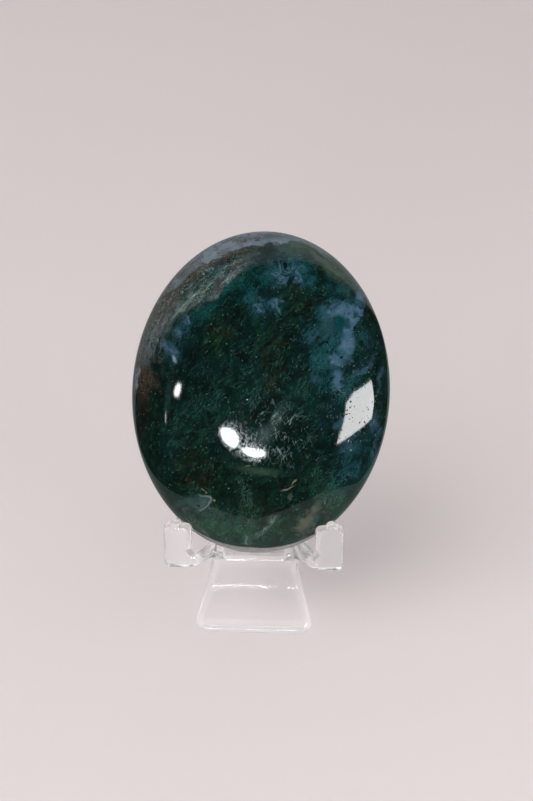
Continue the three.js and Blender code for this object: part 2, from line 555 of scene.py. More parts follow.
def grains_group() -> bpy.types.NodeTree:
    """A mask of small round grains: cells whose random number is under a share hold one each.

    Returns:
        The group, with the output Mask.
    """
    inputs = {"Place": None, "Scale": 1.0, "Radius": 0.1, "Share": 0.3}
    graph, given, result = new_group("grains", ("Mask", NUMBER), inputs)
    cells = graph.node("ShaderNodeTexVoronoi", Vector=given["Place"], Scale=given["Scale"])
    pick = graph.node("ShaderNodeSeparateColor", Color=cells.outputs["Color"])
    chosen = graph.math("LESS_THAN", pick.outputs["Red"], given["Share"])
    size = graph.product(given["Radius"], graph.math("ADD", 0.4, pick.outputs["Green"]))
    round_mask = graph.ramp(cells.outputs["Distance"], graph.product(size, 0.6), size, 1.0, 0.0)
    graph.feed(result, graph.product(chosen, round_mask))
    return graph.tree


@dataclass(frozen=True)
class PatternKit:
    """The node groups that the finishes share."""

    drift: bpy.types.NodeTree
    patch: bpy.types.NodeTree
    threads: bpy.types.NodeTree
    strands: bpy.types.NodeTree
    grains: bpy.types.NodeTree

    @classmethod
    def make(cls) -> "PatternKit":
        """Builds the five groups once."""
        return cls(drift_group(), patch_group(), threads_group(), strands_group(), grains_group())


# The stone


@dataclass(frozen=True)
class Blot:
    """An oval patch of the stone's markings, in the stone's own millimetres.

    x runs to the right and z up the front face, and turn is how far the patch leans, with its
    top to the right. Depth is where it lies from the front face (-12) to the back (12).
    """

    x: float
    z: float
    half_wide: float
    half_tall: float
    turn: float = 0.0
    depth: float = -9.0
    half_deep: float = 11.0
    edge: float = 0.25


TEAL_AREAS = (
    Blot(-8.0, 24.2, 7.5, 2.5, 0.35, edge=0.6),
    Blot(-12.6, 18.2, 2.0, 4.0, 0.7, edge=0.7),
    Blot(-1.5, 26.5, 3.2, 3.0, edge=0.5),
    Blot(15.0, 14.0, 3.8, 8.5, 0.1, edge=0.7),
    Blot(6.0, 28.5, 5.0, 2.5, 0.9, edge=0.8),
)
VEIL_AREAS = (
    Blot(16.8, 11.5, 4.6, 12.0, 0.05, edge=0.7),
    Blot(3.4, 26.7, 4.2, 3.0, edge=0.6),
    Blot(21.0, -13.0, 3.6, 6.0, 0.1, edge=0.9),
    Blot(-18.8, 10.2, 2.0, 3.6, 0.3, edge=0.8),
    Blot(-1.0, 20.0, 3.5, 2.5, edge=0.7),
    Blot(10.5, 13.5, 1.8, 2.6, 0.5, edge=0.8),
)
OLIVE_AREAS = (
    Blot(2.6, 6.5, 2.6, 6.0, 0.15, edge=0.6),
    Blot(-8.0, 13.5, 3.5, 2.0, 0.4, edge=0.8),
    Blot(6.5, 22.5, 3.5, 2.0, 0.7, edge=0.8),
    Blot(-13.0, -16.0, 4.0, 4.0, 0.5, edge=0.8),
    Blot(1.0, -25.0, 7.0, 2.5, 0.2, edge=0.9),
)
DARK_AREAS = (
    Blot(-9.5, 9.6, 4.0, 3.4, 0.5, edge=0.8),
    Blot(-15.3, 6.9, 2.4, 2.4, edge=0.8),
    Blot(-5.4, 19.2, 3.4, 2.4, 0.4, edge=0.7),
    Blot(2.2, 9.6, 2.6, 3.6, 0.3, edge=0.8),
    Blot(8.0, 19.4, 2.0, 2.6, edge=0.8),
    Blot(15.4, -2.6, 1.8, 5.2, edge=0.8),
    Blot(8.6, -14.2, 4.5, 2.4, -0.4, edge=0.8),
    Blot(-11.5, -18.0, 3.4, 2.4, 0.4, edge=0.8),
    Blot(4.0, -17.6, 3.6, 2.0, edge=0.8),
    Blot(10.4, -19.6, 3.2, 2.6, 0.3, edge=0.8),
    Blot(-8.4, -20.6, 2.8, 2.2, edge=0.8),
)
LIT_AREAS = (
    Blot(-2.2, 2.6, 3.4, 4.0, 0.5, edge=0.8),
    Blot(-15.8, -9.4, 3.0, 4.0, 0.5, edge=0.8),
    Blot(-10.5, -4.6, 5.0, 4.0, 0.5, edge=0.8),
    Blot(7.0, 0.0, 3.0, 4.0, 0.5, edge=0.8),
)
LOW_AREAS = (
    Blot(-1.0, -19.0, 16.0, 6.0, edge=0.7),
    Blot(-2.0, -28.0, 14.0, 6.0, edge=0.8),
    Blot(-23.0, -8.0, 3.0, 10.0, -0.2, edge=0.8),
)
PLUMES = (
    Blot(1.6, 13.8, 2.2, 6.5, 0.65, edge=0.6),
    Blot(5.5, 19.0, 1.6, 4.5, 0.85, edge=0.7),
    Blot(20.2, 15.0, 1.0, 4.5, 0.1, edge=0.7),
    Blot(-10.0, 12.5, 5.0, 2.0, 0.9, edge=0.9),
    Blot(-9.0, -6.0, 4.0, 7.0, 0.5, edge=0.9),
)
CLOUDS = (
    Blot(19.9, 21.3, 1.25, 3.1, edge=0.25),
    Blot(16.2, 20.0, 3.0, 1.3, 0.1, edge=0.3),
    Blot(17.8, 16.6, 1.3, 2.3, 0.35, edge=0.3),
    Blot(17.7, 12.4, 1.1, 2.6, 0.1, edge=0.8),
    Blot(16.4, 9.0, 2.2, 1.4, 0.1, edge=0.5),
    Blot(16.4, 5.6, 0.9, 1.6, -0.2, edge=0.6),
    Blot(-16.3, 15.8, 0.4, 1.2, -0.5, edge=0.4),
    Blot(-19.9, 9.0, 1.9, 0.9, 0.6, edge=0.6),
)
FAINT_CLOUDS = (
    Blot(-18.0, 12.8, 0.5, 1.3, -0.4, edge=0.4),
    Blot(13.5, 17.5, 1.3, 3.2, -0.1, edge=0.8),
    Blot(21.4, 7.2, 0.5, 1.9, 1.0, edge=0.6),
    Blot(23.4, 9.6, 0.5, 1.5, 0.1, edge=0.6),
    Blot(25.2, 5.0, 0.6, 2.6, 0.1, edge=0.6),
    Blot(24.8, -3.4, 0.9, 2.2, 0.1, edge=0.6),
    Blot(18.0, -4.4, 0.8, 1.3, 0.3, edge=0.8),
    Blot(20.0, -8.0, 1.2, 1.8, 0.5, edge=0.9),
    Blot(25.6, -9.0, 0.5, 3.2, 0.2, edge=0.6),
    Blot(10.6, 13.9, 0.45, 1.5, 0.5, edge=0.8),
    Blot(11.5, 5.0, 1.0, 0.7, 0.4, edge=0.9),
)
RIBBONS = (
    Blot(4.0, 26.5, 4.0, 2.4, 0.35, edge=0.4),
    Blot(17.2, 2.5, 1.9, 1.9, edge=0.4),
    Blot(-1.6, 20.0, 1.1, 1.8, edge=0.4),
    Blot(2.3, 19.9, 2.1, 1.2, 0.4, edge=0.3),
    Blot(-17.6, 12.8, 1.4, 2.7, 0.4, edge=0.5),
)
DARK_DOTS = (
    Blot(19.2, 20.9, 0.42, 0.42, edge=0.35),
    Blot(19.3, 18.8, 0.62, 0.5, edge=0.35),
    Blot(18.2, 21.9, 0.4, 0.6, edge=0.4),
    Blot(16.0, 16.9, 1.5, 1.9, 0.5, edge=0.5),
    Blot(13.9, -25.6, 0.9, 0.8, edge=0.4),
)
SWIRL_AREAS = (Blot(-24.6, 9.0, 2.4, 6.0, 0.25, edge=0.5), Blot(-22.0, 15.5, 2.2, 4.5, 0.5, edge=0.6))
BROWN_AREAS = (Blot(-25.0, 1.6, 2.4, 4.0, 0.05, edge=0.5), Blot(-25.2, -5.4, 1.5, 4.5, -0.1, edge=0.6))
LEFT_SHADE = Blot(-25.0, -6.5, 2.4, 4.5, -0.1, edge=0.6)
LEFT_STREAK = Blot(-26.8, 1.6, 0.45, 2.6, 0.05, edge=0.6)
RUST_SPOTS = (
    Blot(-10.0, 23.6, 0.9, 1.4, 0.5, edge=0.5),
    Blot(-6.8, 27.4, 0.3, 2.0, 1.0, edge=0.6),
    Blot(-2.6, 33.0, 0.5, 0.3, edge=0.4),
)
SAND_PATCHES = (Blot(11.6, -26.6, 1.5, 2.8, 0.6, edge=0.8), Blot(13.6, -23.6, 0.8, 1.6, 0.3, edge=0.9))
TAN_SHARDS = (
    Blot(7.4, -19.0, 0.14, 1.2, 1.15, edge=0.5),
    Blot(8.6, -17.6, 0.16, 0.8, 0.6, edge=0.5),
    Blot(-10.6, -20.7, 0.08, 0.6, -0.84, edge=0.6),
    Blot(-10.0, -21.4, 0.22, 0.22, edge=0.5),
    Blot(-9.1, -22.1, 0.2, 0.2, edge=0.5),
    Blot(-8.2, -22.7, 0.22, 0.26, edge=0.5),
)
FOOT_AREAS = (
    Blot(-5.0, -30.0, 13.0, 4.6, edge=0.7),
    Blot(-9.8, -26.8, 5.0, 2.8, 0.9, edge=0.8),
    Blot(17.0, -21.5, 5.0, 2.6, 0.9, edge=0.9),
)
# Where the silvery hairs are painted bright: beside the front highlight, as glints of the fibres it lights.
GLINTING_HAIR_AREA = Blot(3.4, -7.4, 6.8, 5.4, 0.5, edge=0.8, half_deep=8.0)
PITTED_AREA = Blot(20.5, 0.0, 4.5, 7.0, edge=0.5)
MARKED_AREA = Blot(-2.5, -9.5, 6.5, 3.6, 1.3, edge=0.7)
GLASSY_WING = Blot(-13.2, -24.3, 1.7, 4.1, 1.25, edge=0.3)
WING_CUT = Blot(-15.2, -26.9, 1.5, 3.2, 0.85, edge=0.3)
VEINS = (
    Blot(-18.1, 17.6, 0.1, 3.2, 0.574, edge=0.6),
    Blot(-15.2, 20.6, 0.15, 1.7, 1.0, edge=0.6),
    Blot(-12.6, 22.4, 0.09, 1.5, 0.7, edge=0.6),
    Blot(-9.3, 23.7, 0.09, 1.7, 0.67, edge=0.6),
    Blot(-21.6, 14.2, 0.12, 2.6, 0.9, edge=0.7),
)
VEIN_BODY = Blot(-15.4, 20.2, 1.7, 3.6, 0.75, edge=0.8)
STAIN_SPOTS = (
    Blot(-11.9, 31.4, 0.9, 0.45, 1.0, edge=0.7, half_deep=9.0),
    Blot(-14.7, 29.3, 0.8, 0.45, 0.9, edge=0.7, half_deep=9.0),
    Blot(-16.1, 27.5, 0.2, 1.6, 0.9, edge=0.7, half_deep=9.0),
    Blot(-18.1, 25.5, 0.35, 1.3, 0.7, edge=0.7, half_deep=9.0),
    Blot(-21.2, 22.2, 0.5, 0.9, 0.5, edge=0.7, half_deep=9.0),
    Blot(-7.0, 33.0, 0.35, 1.9, 1.25, edge=0.7, half_deep=9.0),
)
FRONDS = (
    Blot(-1.6, -20.2, 0.9, 2.4, -0.5, edge=0.9),
    Blot(-1.2, -22.4, 1.7, 2.4, -0.2, edge=0.9),
    Blot(0.2, -26.0, 1.2, 2.2, 0.3, edge=0.9),
    Blot(-8.8, -25.8, 3.4, 2.2, 0.8, edge=0.9),
)
WISPS = (
    Blot(-0.6, -31.8, 0.9, 1.0, 0.3, edge=0.7),
    Blot(2.6, -29.0, 0.5, 2.6, 0.75, edge=0.9),
    Blot(4.6, -26.0, 0.7, 1.3, 0.9, edge=0.9),
    Blot(8.0, -20.9, 0.4, 0.8, 0.1, edge=0.6),
    Blot(15.6, -21.4, 0.25, 0.7, -0.3, edge=0.6),
)


@dataclass
class Coat:
    """The stone's colour while it is laid on, and the patterns that it is laid on through.

    Place is the stone's own millimetres, and drifted is the same moved a little by noise.
    """

    kit: PatternKit
    graph: Graph
    place: Socket
    drifted: Socket
    colour: object

    def lay(self, over: Colour, *masks: object, share: float = 1.0) -> None:
        """Lays a colour over the colour so far, through the masks and a share of them all."""
        weights = masks if share == 1.0 else (*masks, share)
        self.colour = self.graph.paint(self.graph.product(*weights), self.colour, over)

    def moved(self, scale: float, amount: float) -> Socket:
        """The place, moved by noise."""
        return self.graph.group(self.kit.drift, Place=self.place, Scale=scale, Amount=amount)

    def blots(self, place: object, ragged: object, *several: Blot) -> Socket:
        """The mask of some patches together: the largest of their masks.

        Args:
            place: Where the pattern is read.
            ragged: Noise that makes their edges uneven.
            several: The patches.

        Returns:
            The mask.
        """
        whole = None
        for blot in several:
            mask = self.graph.group(
                self.kit.patch,
                Place=place,
                Centre=(blot.x, blot.depth, blot.z),
                Half_Size=(blot.half_wide, blot.half_deep, blot.half_tall),
                Turn=-blot.turn,
                Ragged=ragged,
                Edge=blot.edge,
            )
            whole = mask if whole is None else self.graph.math("MAXIMUM", whole, mask)
        return whole

    def threads(self, place: object, turn: float, scale: float, width: float, **more: float) -> Socket:
        """Threads that lean by the turn, with their top to the right.

        Args:
            place: Where the pattern is read.
            turn: How far they lean.
            scale: Threads for each millimetre.
            width: Their width, in the noise's own units.
            more: The group's other inputs: Stretch, Curl and Detail.

        Returns:
            The mask.
        """
        return self.graph.group(self.kit.threads, Place=place, Turn=-turn, Scale=scale, Width=width, **more)

    def strands(self, place: object, turn: float, count: float, **more: float) -> Socket:
        """Long strands side by side that lean by the turn, with their top to the right.

        Args:
            place: Where the pattern is read.
            turn: How far they lean.
            count: How many stand side by side.
            more: The group's other inputs: Stretch, Scale, Width and Detail.

        Returns:
            The mask.
        """
        return self.graph.group(self.kit.strands, Place=place, Turn=-turn, Count=count, **more)

    def grains(self, place: object, scale: float, radius: float, share: float) -> Socket:
        """Small round grains in a share of the pattern's cells."""
        return self.graph.group(self.kit.grains, Place=place, Scale=scale, Radius=radius, Share=share)

    def gate(self, scale: float, low: float, high: float, start: float = 0.0, end: float = 1.0) -> Socket:
        """A soft cloudy mask: noise that goes from start at the low value to end at the high one."""
        return self.graph.ramp(self.graph.noise(self.place, scale, 3), low, high, start, end)

    def uneven(self, place: object, scale: float, amount: float, detail: float = 4.0) -> Socket:
        """Noise around 0 that makes a patch's edge uneven by the amount."""
        return self.graph.product(self.graph.less(self.graph.noise(place, scale, detail, 0.6), 0.5), amount)

    def streaks(self, place: object, turn: float, scale: float, stretch: float) -> Socket:
        """Streaky noise between 0 and 1, drawn out along a direction.

        Args:
            place: Where the pattern is read.
            turn: How far the streaks lean, with their top to the right.
            scale: Streaks for each millimetre, across.
            stretch: Their width as a share of their length.

        Returns:
            The streaks' strength.
        """
        drawn = self.graph.vector_math("MULTIPLY", self.graph.turned(place, -turn), (1.0, 1.0, stretch))
        return self.graph.noise(drawn, scale, 8, 0.68, 0.5)


@dataclass(frozen=True)
class RimPattern:
    """What the layers along the upper left rim share.

    The reach is 0 at the stone's middle and 1 at its outline, and waved is the reach made
    uneven. The angle is 0 towards the upper left and has its jump at the lower right, where no
    band shows. Place is (way outwards, depth, way along the rim) in millimetres. Gently and
    fraying are the stone's place moved by broad and by fine noise. The last three are the masks
    of the veined band, the earthy band in it and the edge outside them.
    """

    reach: Socket
    waved: Socket
    angle: Socket
    place: Socket
    flow: Socket
    fine_flow: Socket
    gently: Socket
    fraying: Socket
    veined: Socket
    earthy: Socket
    outer: Socket


@dataclass(frozen=True)
class AgateFinish:
    """Polished moss agate: dark green moss, blue-grey chalcedony and earthy bands at the rim."""

    kit: PatternKit
    centre: Vector
    turn: Euler
    half_wide: float
    half_tall: float

    DEEP_GREEN: Colour = (0.0006, 0.0050, 0.0036)
    MOSS_GREEN: Colour = (0.0014, 0.0108, 0.0084)
    LOW_GREEN: Colour = (0.0012, 0.0078, 0.0046)
    LIT_GREEN: Colour = (0.0052, 0.0235, 0.0190)
    PLUME_GREEN: Colour = (0.0055, 0.0290, 0.0120)
    FIBRE_GREEN: Colour = (0.0120, 0.0440, 0.0350)
    CURL_GREEN: Colour = (0.0300, 0.0600, 0.0360)
    TEAL: Colour = (0.0015, 0.0340, 0.0345)
    VEIL_BLUE: Colour = (0.0070, 0.0380, 0.0480)
    OLIVE: Colour = (0.0064, 0.0074, 0.0036)
    BLUE_GREY: Colour = (0.0340, 0.0780, 0.1220)
    PALE_BLUE: Colour = (0.0750, 0.1350, 0.1850)
    MIST: Colour = (0.1380, 0.1780, 0.2180)
    SLATE: Colour = (0.0550, 0.0750, 0.0850)
    GREY_GREEN: Colour = (0.0250, 0.0620, 0.0580)
    PALE_VEIN: Colour = (0.1700, 0.2400, 0.2000)
    EARTH: Colour = (0.0280, 0.0240, 0.0145)
    # Painted reflection: the lighter green of the upper right rim, where the bright backdrop is mirrored.
    RIM_REFLECTION_GREEN: Colour = (0.0420, 0.0640, 0.0500)
    STAIN: Colour = (0.0450, 0.0460, 0.0290)
    FROND: Colour = (0.0260, 0.0660, 0.0490)
    FOOT_GREEN: Colour = (0.0090, 0.0330, 0.0225)
    BROWN: Colour = (0.0360, 0.0295, 0.0200)
    RUST: Colour = (0.0300, 0.0165, 0.0145)
    BLACK: Colour = (0.0010, 0.0020, 0.0016)
    SILVER: Colour = (0.3000, 0.3800, 0.3600)
    GOLD: Colour = (0.2000, 0.1900, 0.0600)
    SAND: Colour = (0.1030, 0.1120, 0.0810)
    TAN: Colour = (0.2800, 0.2200, 0.1600)
    # Partly the grey skin of the lowest rim, partly a painted reflection of the pale stand and floor there.
    SKIN_AND_REFLECTION_GREY: Colour = (0.2000, 0.2020, 0.1990)
    GLOSSY: float = 0.035
    PITTED: float = 0.5
    QUARTZ_IOR: float = 1.54

    def place(self, graph: Graph) -> Socket:
        """The stone's own millimetres, from Object coordinates: middle at 0, lean and roll undone.

        Args:
            graph: The material's graph.

        Returns:
            The place.
        """
        coordinates = graph.node("ShaderNodeTexCoord").outputs["Object"]
        own = {"Vector": coordinates, "Location": self.centre, "Rotation": self.turn, "Scale": (MM, MM, MM)}
        return graph.node("ShaderNodeMapping", {"vector_type": "TEXTURE"}, **own).outputs["Vector"]

    def ground(self, coat: Coat) -> None:
        """Deep green with cloudy moss and with lit, dark, low, teal, blue and olive areas.

        Args:
            coat: The coat, deep green so far.
        """
        graph, drifted = coat.graph, coat.drifted
        soft = coat.uneven(coat.place, scale=0.2, amount=2.4)
        cloudy = graph.ramp(graph.noise(drifted, 0.13, detail=5, rough=0.6, bend=0.4), 0.38, 0.64)
        mottled = graph.ramp(graph.noise(drifted, 0.3, detail=4, rough=0.55), 0.36, 0.62, 0.4, 0.95)
        patchy = graph.ramp(graph.noise(drifted, 0.45, detail=4, rough=0.6), 0.4, 0.62, 0.1, 0.9)
        calmer = graph.ramp(mottled, 0.4, 0.95, 0.6, 0.9)
        coat.lay(self.MOSS_GREEN, cloudy)
        for colour, areas, mask, share in (
            (self.LIT_GREEN, LIT_AREAS, mottled, 0.7),
            (self.DEEP_GREEN, DARK_AREAS, 1.0, 0.85),
            (self.LOW_GREEN, LOW_AREAS, 1.0, 0.8),
            (self.TEAL, TEAL_AREAS, mottled, 1.0),
            (self.VEIL_BLUE, VEIL_AREAS, mottled, 0.8),
            (self.FOOT_GREEN, FOOT_AREAS, calmer, 1.0),
            (self.OLIVE, OLIVE_AREAS, patchy, 1.0),
        ):
            coat.lay(colour, coat.blots(drifted, soft, *areas), mask, share=share)

    def moss(self, coat: Coat) -> None:
        """The moss: soft mottling, long leaning strands, fine hairs between them and a few curls.

        Args:
            coat: The coat so far.
        """
        graph, place, drifted = coat.graph, coat.place, coat.drifted
        mottled = graph.ramp(graph.noise(drifted, 0.3, detail=4, rough=0.6, bend=0.5), 0.32, 0.68, 0.75, 1.25)
        streaky = graph.ramp(coat.streaks(drifted, turn=0.7, scale=0.9, stretch=0.3), 0.3, 0.7, 0.5, 1.5)
        grainy = graph.ramp(graph.noise(place, 3.6, detail=2, rough=0.7), 0.32, 0.68, 0.4, 1.6)
        strength = graph.product(mottled, streaky, grainy)
        tone = graph.node("ShaderNodeCombineColor", Red=strength, Green=strength, Blue=strength)
        coat.colour = graph.paint(1.0, coat.colour, tone.outputs["Color"], Blend.MULTIPLY)
        swaying = graph.ramp(graph.noise(place, 0.11, detail=2), 0.44, 0.56)
        rising = coat.strands(drifted, turn=0.75, count=20.0, Scale=0.17, Stretch=0.35, Width=0.45)
        rising_hairs = coat.threads(drifted, turn=0.8, scale=0.8, width=0.016, Stretch=0.12, Detail=2.0)
        upright = coat.strands(drifted, turn=0.1, count=18.0, Scale=0.2, Stretch=0.4, Width=0.45)
        finer = {"Stretch": 0.16, "Detail": 2.0, "Curl": 0.7}
        upright_hairs = coat.threads(place, turn=0.3, scale=0.85, width=0.016, **finer)
        leaning = graph.math("ADD", graph.product(rising, 0.4), rising_hairs)
        standing = graph.math("ADD", graph.product(upright, 0.3), upright_hairs)
        fibres = graph.math(
            "ADD", graph.product(leaning, graph.less(1.0, swaying)), graph.product(standing, swaying)
        )
        coat.lay(self.FIBRE_GREEN, fibres, coat.gate(0.6, 0.4, 0.62, 0.15, 0.9))
        feathered = coat.blots(drifted, coat.uneven(place, scale=0.4, amount=2.5), *PLUMES)
        coat.lay(self.PLUME_GREEN, rising, feathered, share=0.75)
        gaps = coat.strands(drifted, turn=0.85, count=12.0, Scale=0.22, Stretch=0.3, Width=0.3)
        coat.lay(self.BLACK, gaps, coat.gate(0.25, 0.45, 0.6), share=0.8)
        curls = coat.threads(place, turn=0.4, scale=0.55, width=0.007, Stretch=0.5, Curl=1.6, Detail=2.0)
        coat.lay(self.CURL_GREEN, curls, coat.gate(0.17, 0.46, 0.56), share=0.4)

    def chalcedony(self, coat: Coat) -> None:
        """Blue-grey chalcedony: soft lobed clouds with a paler heart, looped ribbons and dots.

        Args:
            coat: The coat so far.
        """
        graph, place = coat.graph, coat.place
        curled = coat.moved(scale=0.4, amount=3.2)
        ragged = coat.uneven(place, scale=0.45, amount=2.4, detail=3.0)
        smoky = graph.ramp(graph.noise(curled, 0.35, detail=3, rough=0.5, bend=0.8), 0.34, 0.58, 0.3, 1.0)
        glow = graph.ramp(graph.noise(curled, 0.5, detail=3, rough=0.5, bend=1.2), 0.48, 0.66)
        coat.lay(self.BLUE_GREY, coat.blots(curled, ragged, *FAINT_CLOUDS), smoky, share=0.5)
        bodies = coat.blots(curled, ragged, *CLOUDS)
        coat.lay(self.BLUE_GREY, bodies, smoky)
        coat.lay(self.PALE_BLUE, bodies, glow, share=0.55)
        looped = coat.blots(coat.drifted, coat.uneven(place, scale=0.4, amount=2.0), *RIBBONS)
        for colour, width, share in ((self.BLUE_GREY, 0.09, 0.5), (self.PALE_BLUE, 0.028, 0.4)):
            ribbons = coat.threads(curled, turn=0.3, scale=0.2, width=width, Curl=1.4, Detail=1.0)
            coat.lay(colour, ribbons, looped, share=share)
        coat.lay(self.TEAL, coat.blots(place, graph.product(ragged, 0.12), *DARK_DOTS), share=0.7)

    def rim_pattern(self, coat: Coat) -> RimPattern:
        """Works out what the layers along the upper left rim share.

        With a and b the place across and along as shares of the half sizes, the reach is
        the root of a^2 + b^2 and the angle is the arctangent of (b + a) over (b - a).

        Args:
            coat: The coat so far.

        Returns:
            The pattern.
        """
        graph = coat.graph
        gently = coat.moved(scale=0.3, amount=2.6)
        x, depth, z = graph.axes(gently)
        across = graph.math("DIVIDE", x, self.half_wide)
        along = graph.math("DIVIDE", z, self.half_tall)
        squares = graph.math("ADD", graph.math("POWER", across, 2.0), graph.math("POWER", along, 2.0))
        reach = graph.math("SQRT", squares)
        angle = graph.math("ARCTAN2", graph.math("ADD", along, across), graph.less(along, across))
        outward = graph.product(reach, self.half_tall)
        way = graph.product(angle, self.half_wide)
        place = graph.node("ShaderNodeCombineXYZ", X=outward, Y=depth, Z=way).outputs["Vector"]
        waved = graph.math("ADD", reach, coat.uneven(place, scale=0.25, amount=0.1, detail=3.0))
        upper = graph.product(graph.ramp(angle, -0.7, -0.45), graph.ramp(angle, 0.8, 0.45))
        crown = graph.product(graph.ramp(angle, -0.3, -0.1), graph.ramp(angle, 1.35, 1.0))
        bay = graph.product(graph.math("ABSOLUTE", graph.less(angle, 0.23)), 0.28)
        narrowed = graph.math(
            "ADD", graph.ramp(angle, -0.2, 0.05, 0.075, 0.0), graph.ramp(angle, 0.6, 1.2, 0.0, 0.066)
        )
        return RimPattern(
            reach=reach,
            waved=waved,
            angle=angle,
            place=place,
            flow=coat.streaks(place, turn=0.0, scale=0.4, stretch=0.3),
            fine_flow=coat.streaks(place, turn=0.1, scale=1.0, stretch=0.3),
            gently=gently,
            fraying=coat.moved(scale=0.8, amount=1.1),
            veined=graph.product(graph.ramp(graph.less(waved, bay), 0.685, 0.705), upper),
            earthy=graph.product(graph.ramp(waved, 0.862, 0.88), upper),
            outer=graph.product(graph.ramp(graph.less(waved, narrowed), 0.9, 0.918), crown),
        )

    def rim_bands(self, coat: Coat, rim: RimPattern) -> None:
        """A grey-green veil, the slate band with its earthy edge, the pale veins, dark creases, and a painted
        reflection: a lighter green band along the upper right rim.

        Args:
            coat: The coat so far.
            rim: The rim's pattern.
        """
        graph, place, angle = coat.graph, coat.place, rim.angle
        veil = graph.product(graph.ramp(rim.reach, 0.66, 0.8), graph.ramp(angle, -0.6, -0.4))
        coat.lay(
            self.GREY_GREEN, veil, graph.ramp(angle, 0.7, 0.3), graph.ramp(rim.flow, 0.36, 0.6, 0.0, 0.4)
        )
        coat.lay(self.SLATE, rim.veined, graph.ramp(rim.flow, 0.45, 0.57, 0.0, 0.75))
        coat.lay(self.EARTH, rim.earthy, graph.ramp(rim.fine_flow, 0.34, 0.5, 0.4, 0.97))
        body = coat.blots(rim.fraying, coat.uneven(place, scale=0.5, amount=1.6), VEIN_BODY)
        coat.lay(self.PALE_VEIN, body, graph.ramp(rim.fine_flow, 0.42, 0.6, 0.0, 0.3))
        drawn = coat.blots(rim.fraying, coat.uneven(place, scale=0.9, amount=0.8), *VEINS)
        coat.lay(self.PALE_VEIN, drawn, share=0.9)
        # Painted reflection: a lighter, streaky green band along the upper right rim stands in for the bright
        # backdrop mirrored there.
        top = graph.product(graph.ramp(angle, 0.7, 1.0), graph.ramp(angle, 1.7, 1.35))
        rim_reflection = graph.product(graph.ramp(rim.waved, 0.87, 0.94), top)
        coat.lay(self.RIM_REFLECTION_GREEN, rim_reflection, graph.ramp(rim.flow, 0.36, 0.6, 0.3, 0.8))
        ridges = coat.strands(rim.place, turn=0.05, count=15.0, Scale=0.22, Stretch=0.2, Width=0.4)
        ridges = graph.product(ridges, coat.gate(0.3, 0.45, 0.6, 0.0, 0.6), rim.veined)
        coat.lay(self.PALE_VEIN, ridges, graph.ramp(rim.waved, 0.92, 0.84, 0.2, 0.75))
        curly = {"Stretch": 0.35, "Curl": 1.4, "Detail": 2.0}
        sinews = coat.threads(rim.place, turn=0.1, scale=0.6, width=0.018, **curly)
        coat.lay(self.PALE_VEIN, sinews, rim.veined, share=0.7)
        narrow = {"Scale": 0.25, "Stretch": 0.3, "Width": 0.25, "Detail": 3.0}
        creases = coat.strands(rim.place, turn=-0.05, count=14.0, **narrow)
        coat.lay(self.BLACK, creases, coat.gate(0.35, 0.4, 0.56), rim.veined, share=0.75)

    def rim_edge(self, coat: Coat, rim: RimPattern) -> None:
        """The misty blue-grey edge outside the bands, its stains, and dark crumbs in the bands.

        Args:
            coat: The coat so far.
            rim: The rim's pattern.
        """
        graph = coat.graph
        cloudy = graph.ramp(graph.noise(rim.gently, 0.22, detail=3, rough=0.55), 0.36, 0.62, 0.5, 1.0)
        streaky = graph.ramp(rim.flow, 0.38, 0.58, 0.7, 1.0)
        coat.lay(self.MIST, rim.outer, cloudy, streaky, graph.ramp(rim.angle, -0.05, 0.42, 0.6, 1.0))
        stains = graph.ramp(coat.streaks(rim.place, turn=-0.1, scale=0.5, stretch=0.35), 0.53, 0.6)
        coat.lay(self.EARTH, stains, graph.ramp(rim.reach, 0.995, 0.975), rim.outer, share=0.8)
        spots = coat.blots(rim.fraying, coat.uneven(coat.place, scale=0.9, amount=1.6), *STAIN_SPOTS)
        coat.lay(self.STAIN, spots, share=0.85)
        crumbs = coat.grains(rim.gently, scale=1.2, radius=0.26, share=0.4)
        coat.lay(self.BLACK, crumbs, rim.veined, share=0.8)

    def left_rim(self, coat: Coat, rim: RimPattern) -> None:
        """The left rim: swirled areas, a brown area with dark scrawls, a pale streak and rust.

        Args:
            coat: The coat so far.
            rim: The rim's pattern.
        """
        graph, place, drifted = coat.graph, coat.place, coat.drifted
        ragged = coat.uneven(place, scale=0.4, amount=2.6)
        swirled = coat.blots(drifted, ragged, *SWIRL_AREAS)
        coat.lay(self.SLATE, swirled, graph.ramp(rim.flow, 0.42, 0.53, 0.05, 0.8))
        coat.lay(self.EARTH, swirled, graph.ramp(rim.fine_flow, 0.48, 0.58, 0.0, 0.85))
        curly = {"Stretch": 0.5, "Curl": 1.6, "Detail": 2.0}
        swirls = coat.threads(rim.fraying, turn=0.3, scale=0.4, width=0.014, **curly)
        coat.lay(self.PALE_VEIN, swirls, swirled, share=0.6)
        left = coat.blots(drifted, ragged, *BROWN_AREAS)
        fading = graph.ramp(graph.axes(place)[2], -5.5, -1.5, 0.4, 1.0)
        coat.lay(self.BROWN, left, graph.ramp(rim.fine_flow, 0.3, 0.5, 0.5, 1.0), fading)
        streak = coat.blots(rim.gently, coat.uneven(place, scale=0.6, amount=1.2), LEFT_STREAK)
        coat.lay(self.MIST, streak, share=0.6)
        curly = {"Stretch": 0.8, "Curl": 2.0, "Detail": 1.0}
        scrawls = coat.threads(rim.gently, turn=0.9, scale=0.62, width=0.045, **curly)
        coat.lay(self.BLACK, scrawls, coat.gate(0.9, 0.44, 0.5), left, share=0.9)
        curly = {"Stretch": 0.6, "Curl": 1.5, "Detail": 2.0}
        knots = coat.threads(rim.gently, turn=0.3, scale=0.5, width=0.03, **curly)
        coat.lay(self.BLACK, knots, graph.math("MAXIMUM", left, swirled), share=0.7)
        coat.lay(self.BLACK, coat.blots(drifted, ragged, LEFT_SHADE), share=0.7)
        rust = coat.blots(rim.gently, coat.uneven(place, scale=0.9, amount=2.4), *RUST_SPOTS)
        coat.lay(self.RUST, rust, graph.ramp(rim.fine_flow, 0.32, 0.5, 0.4, 0.9))

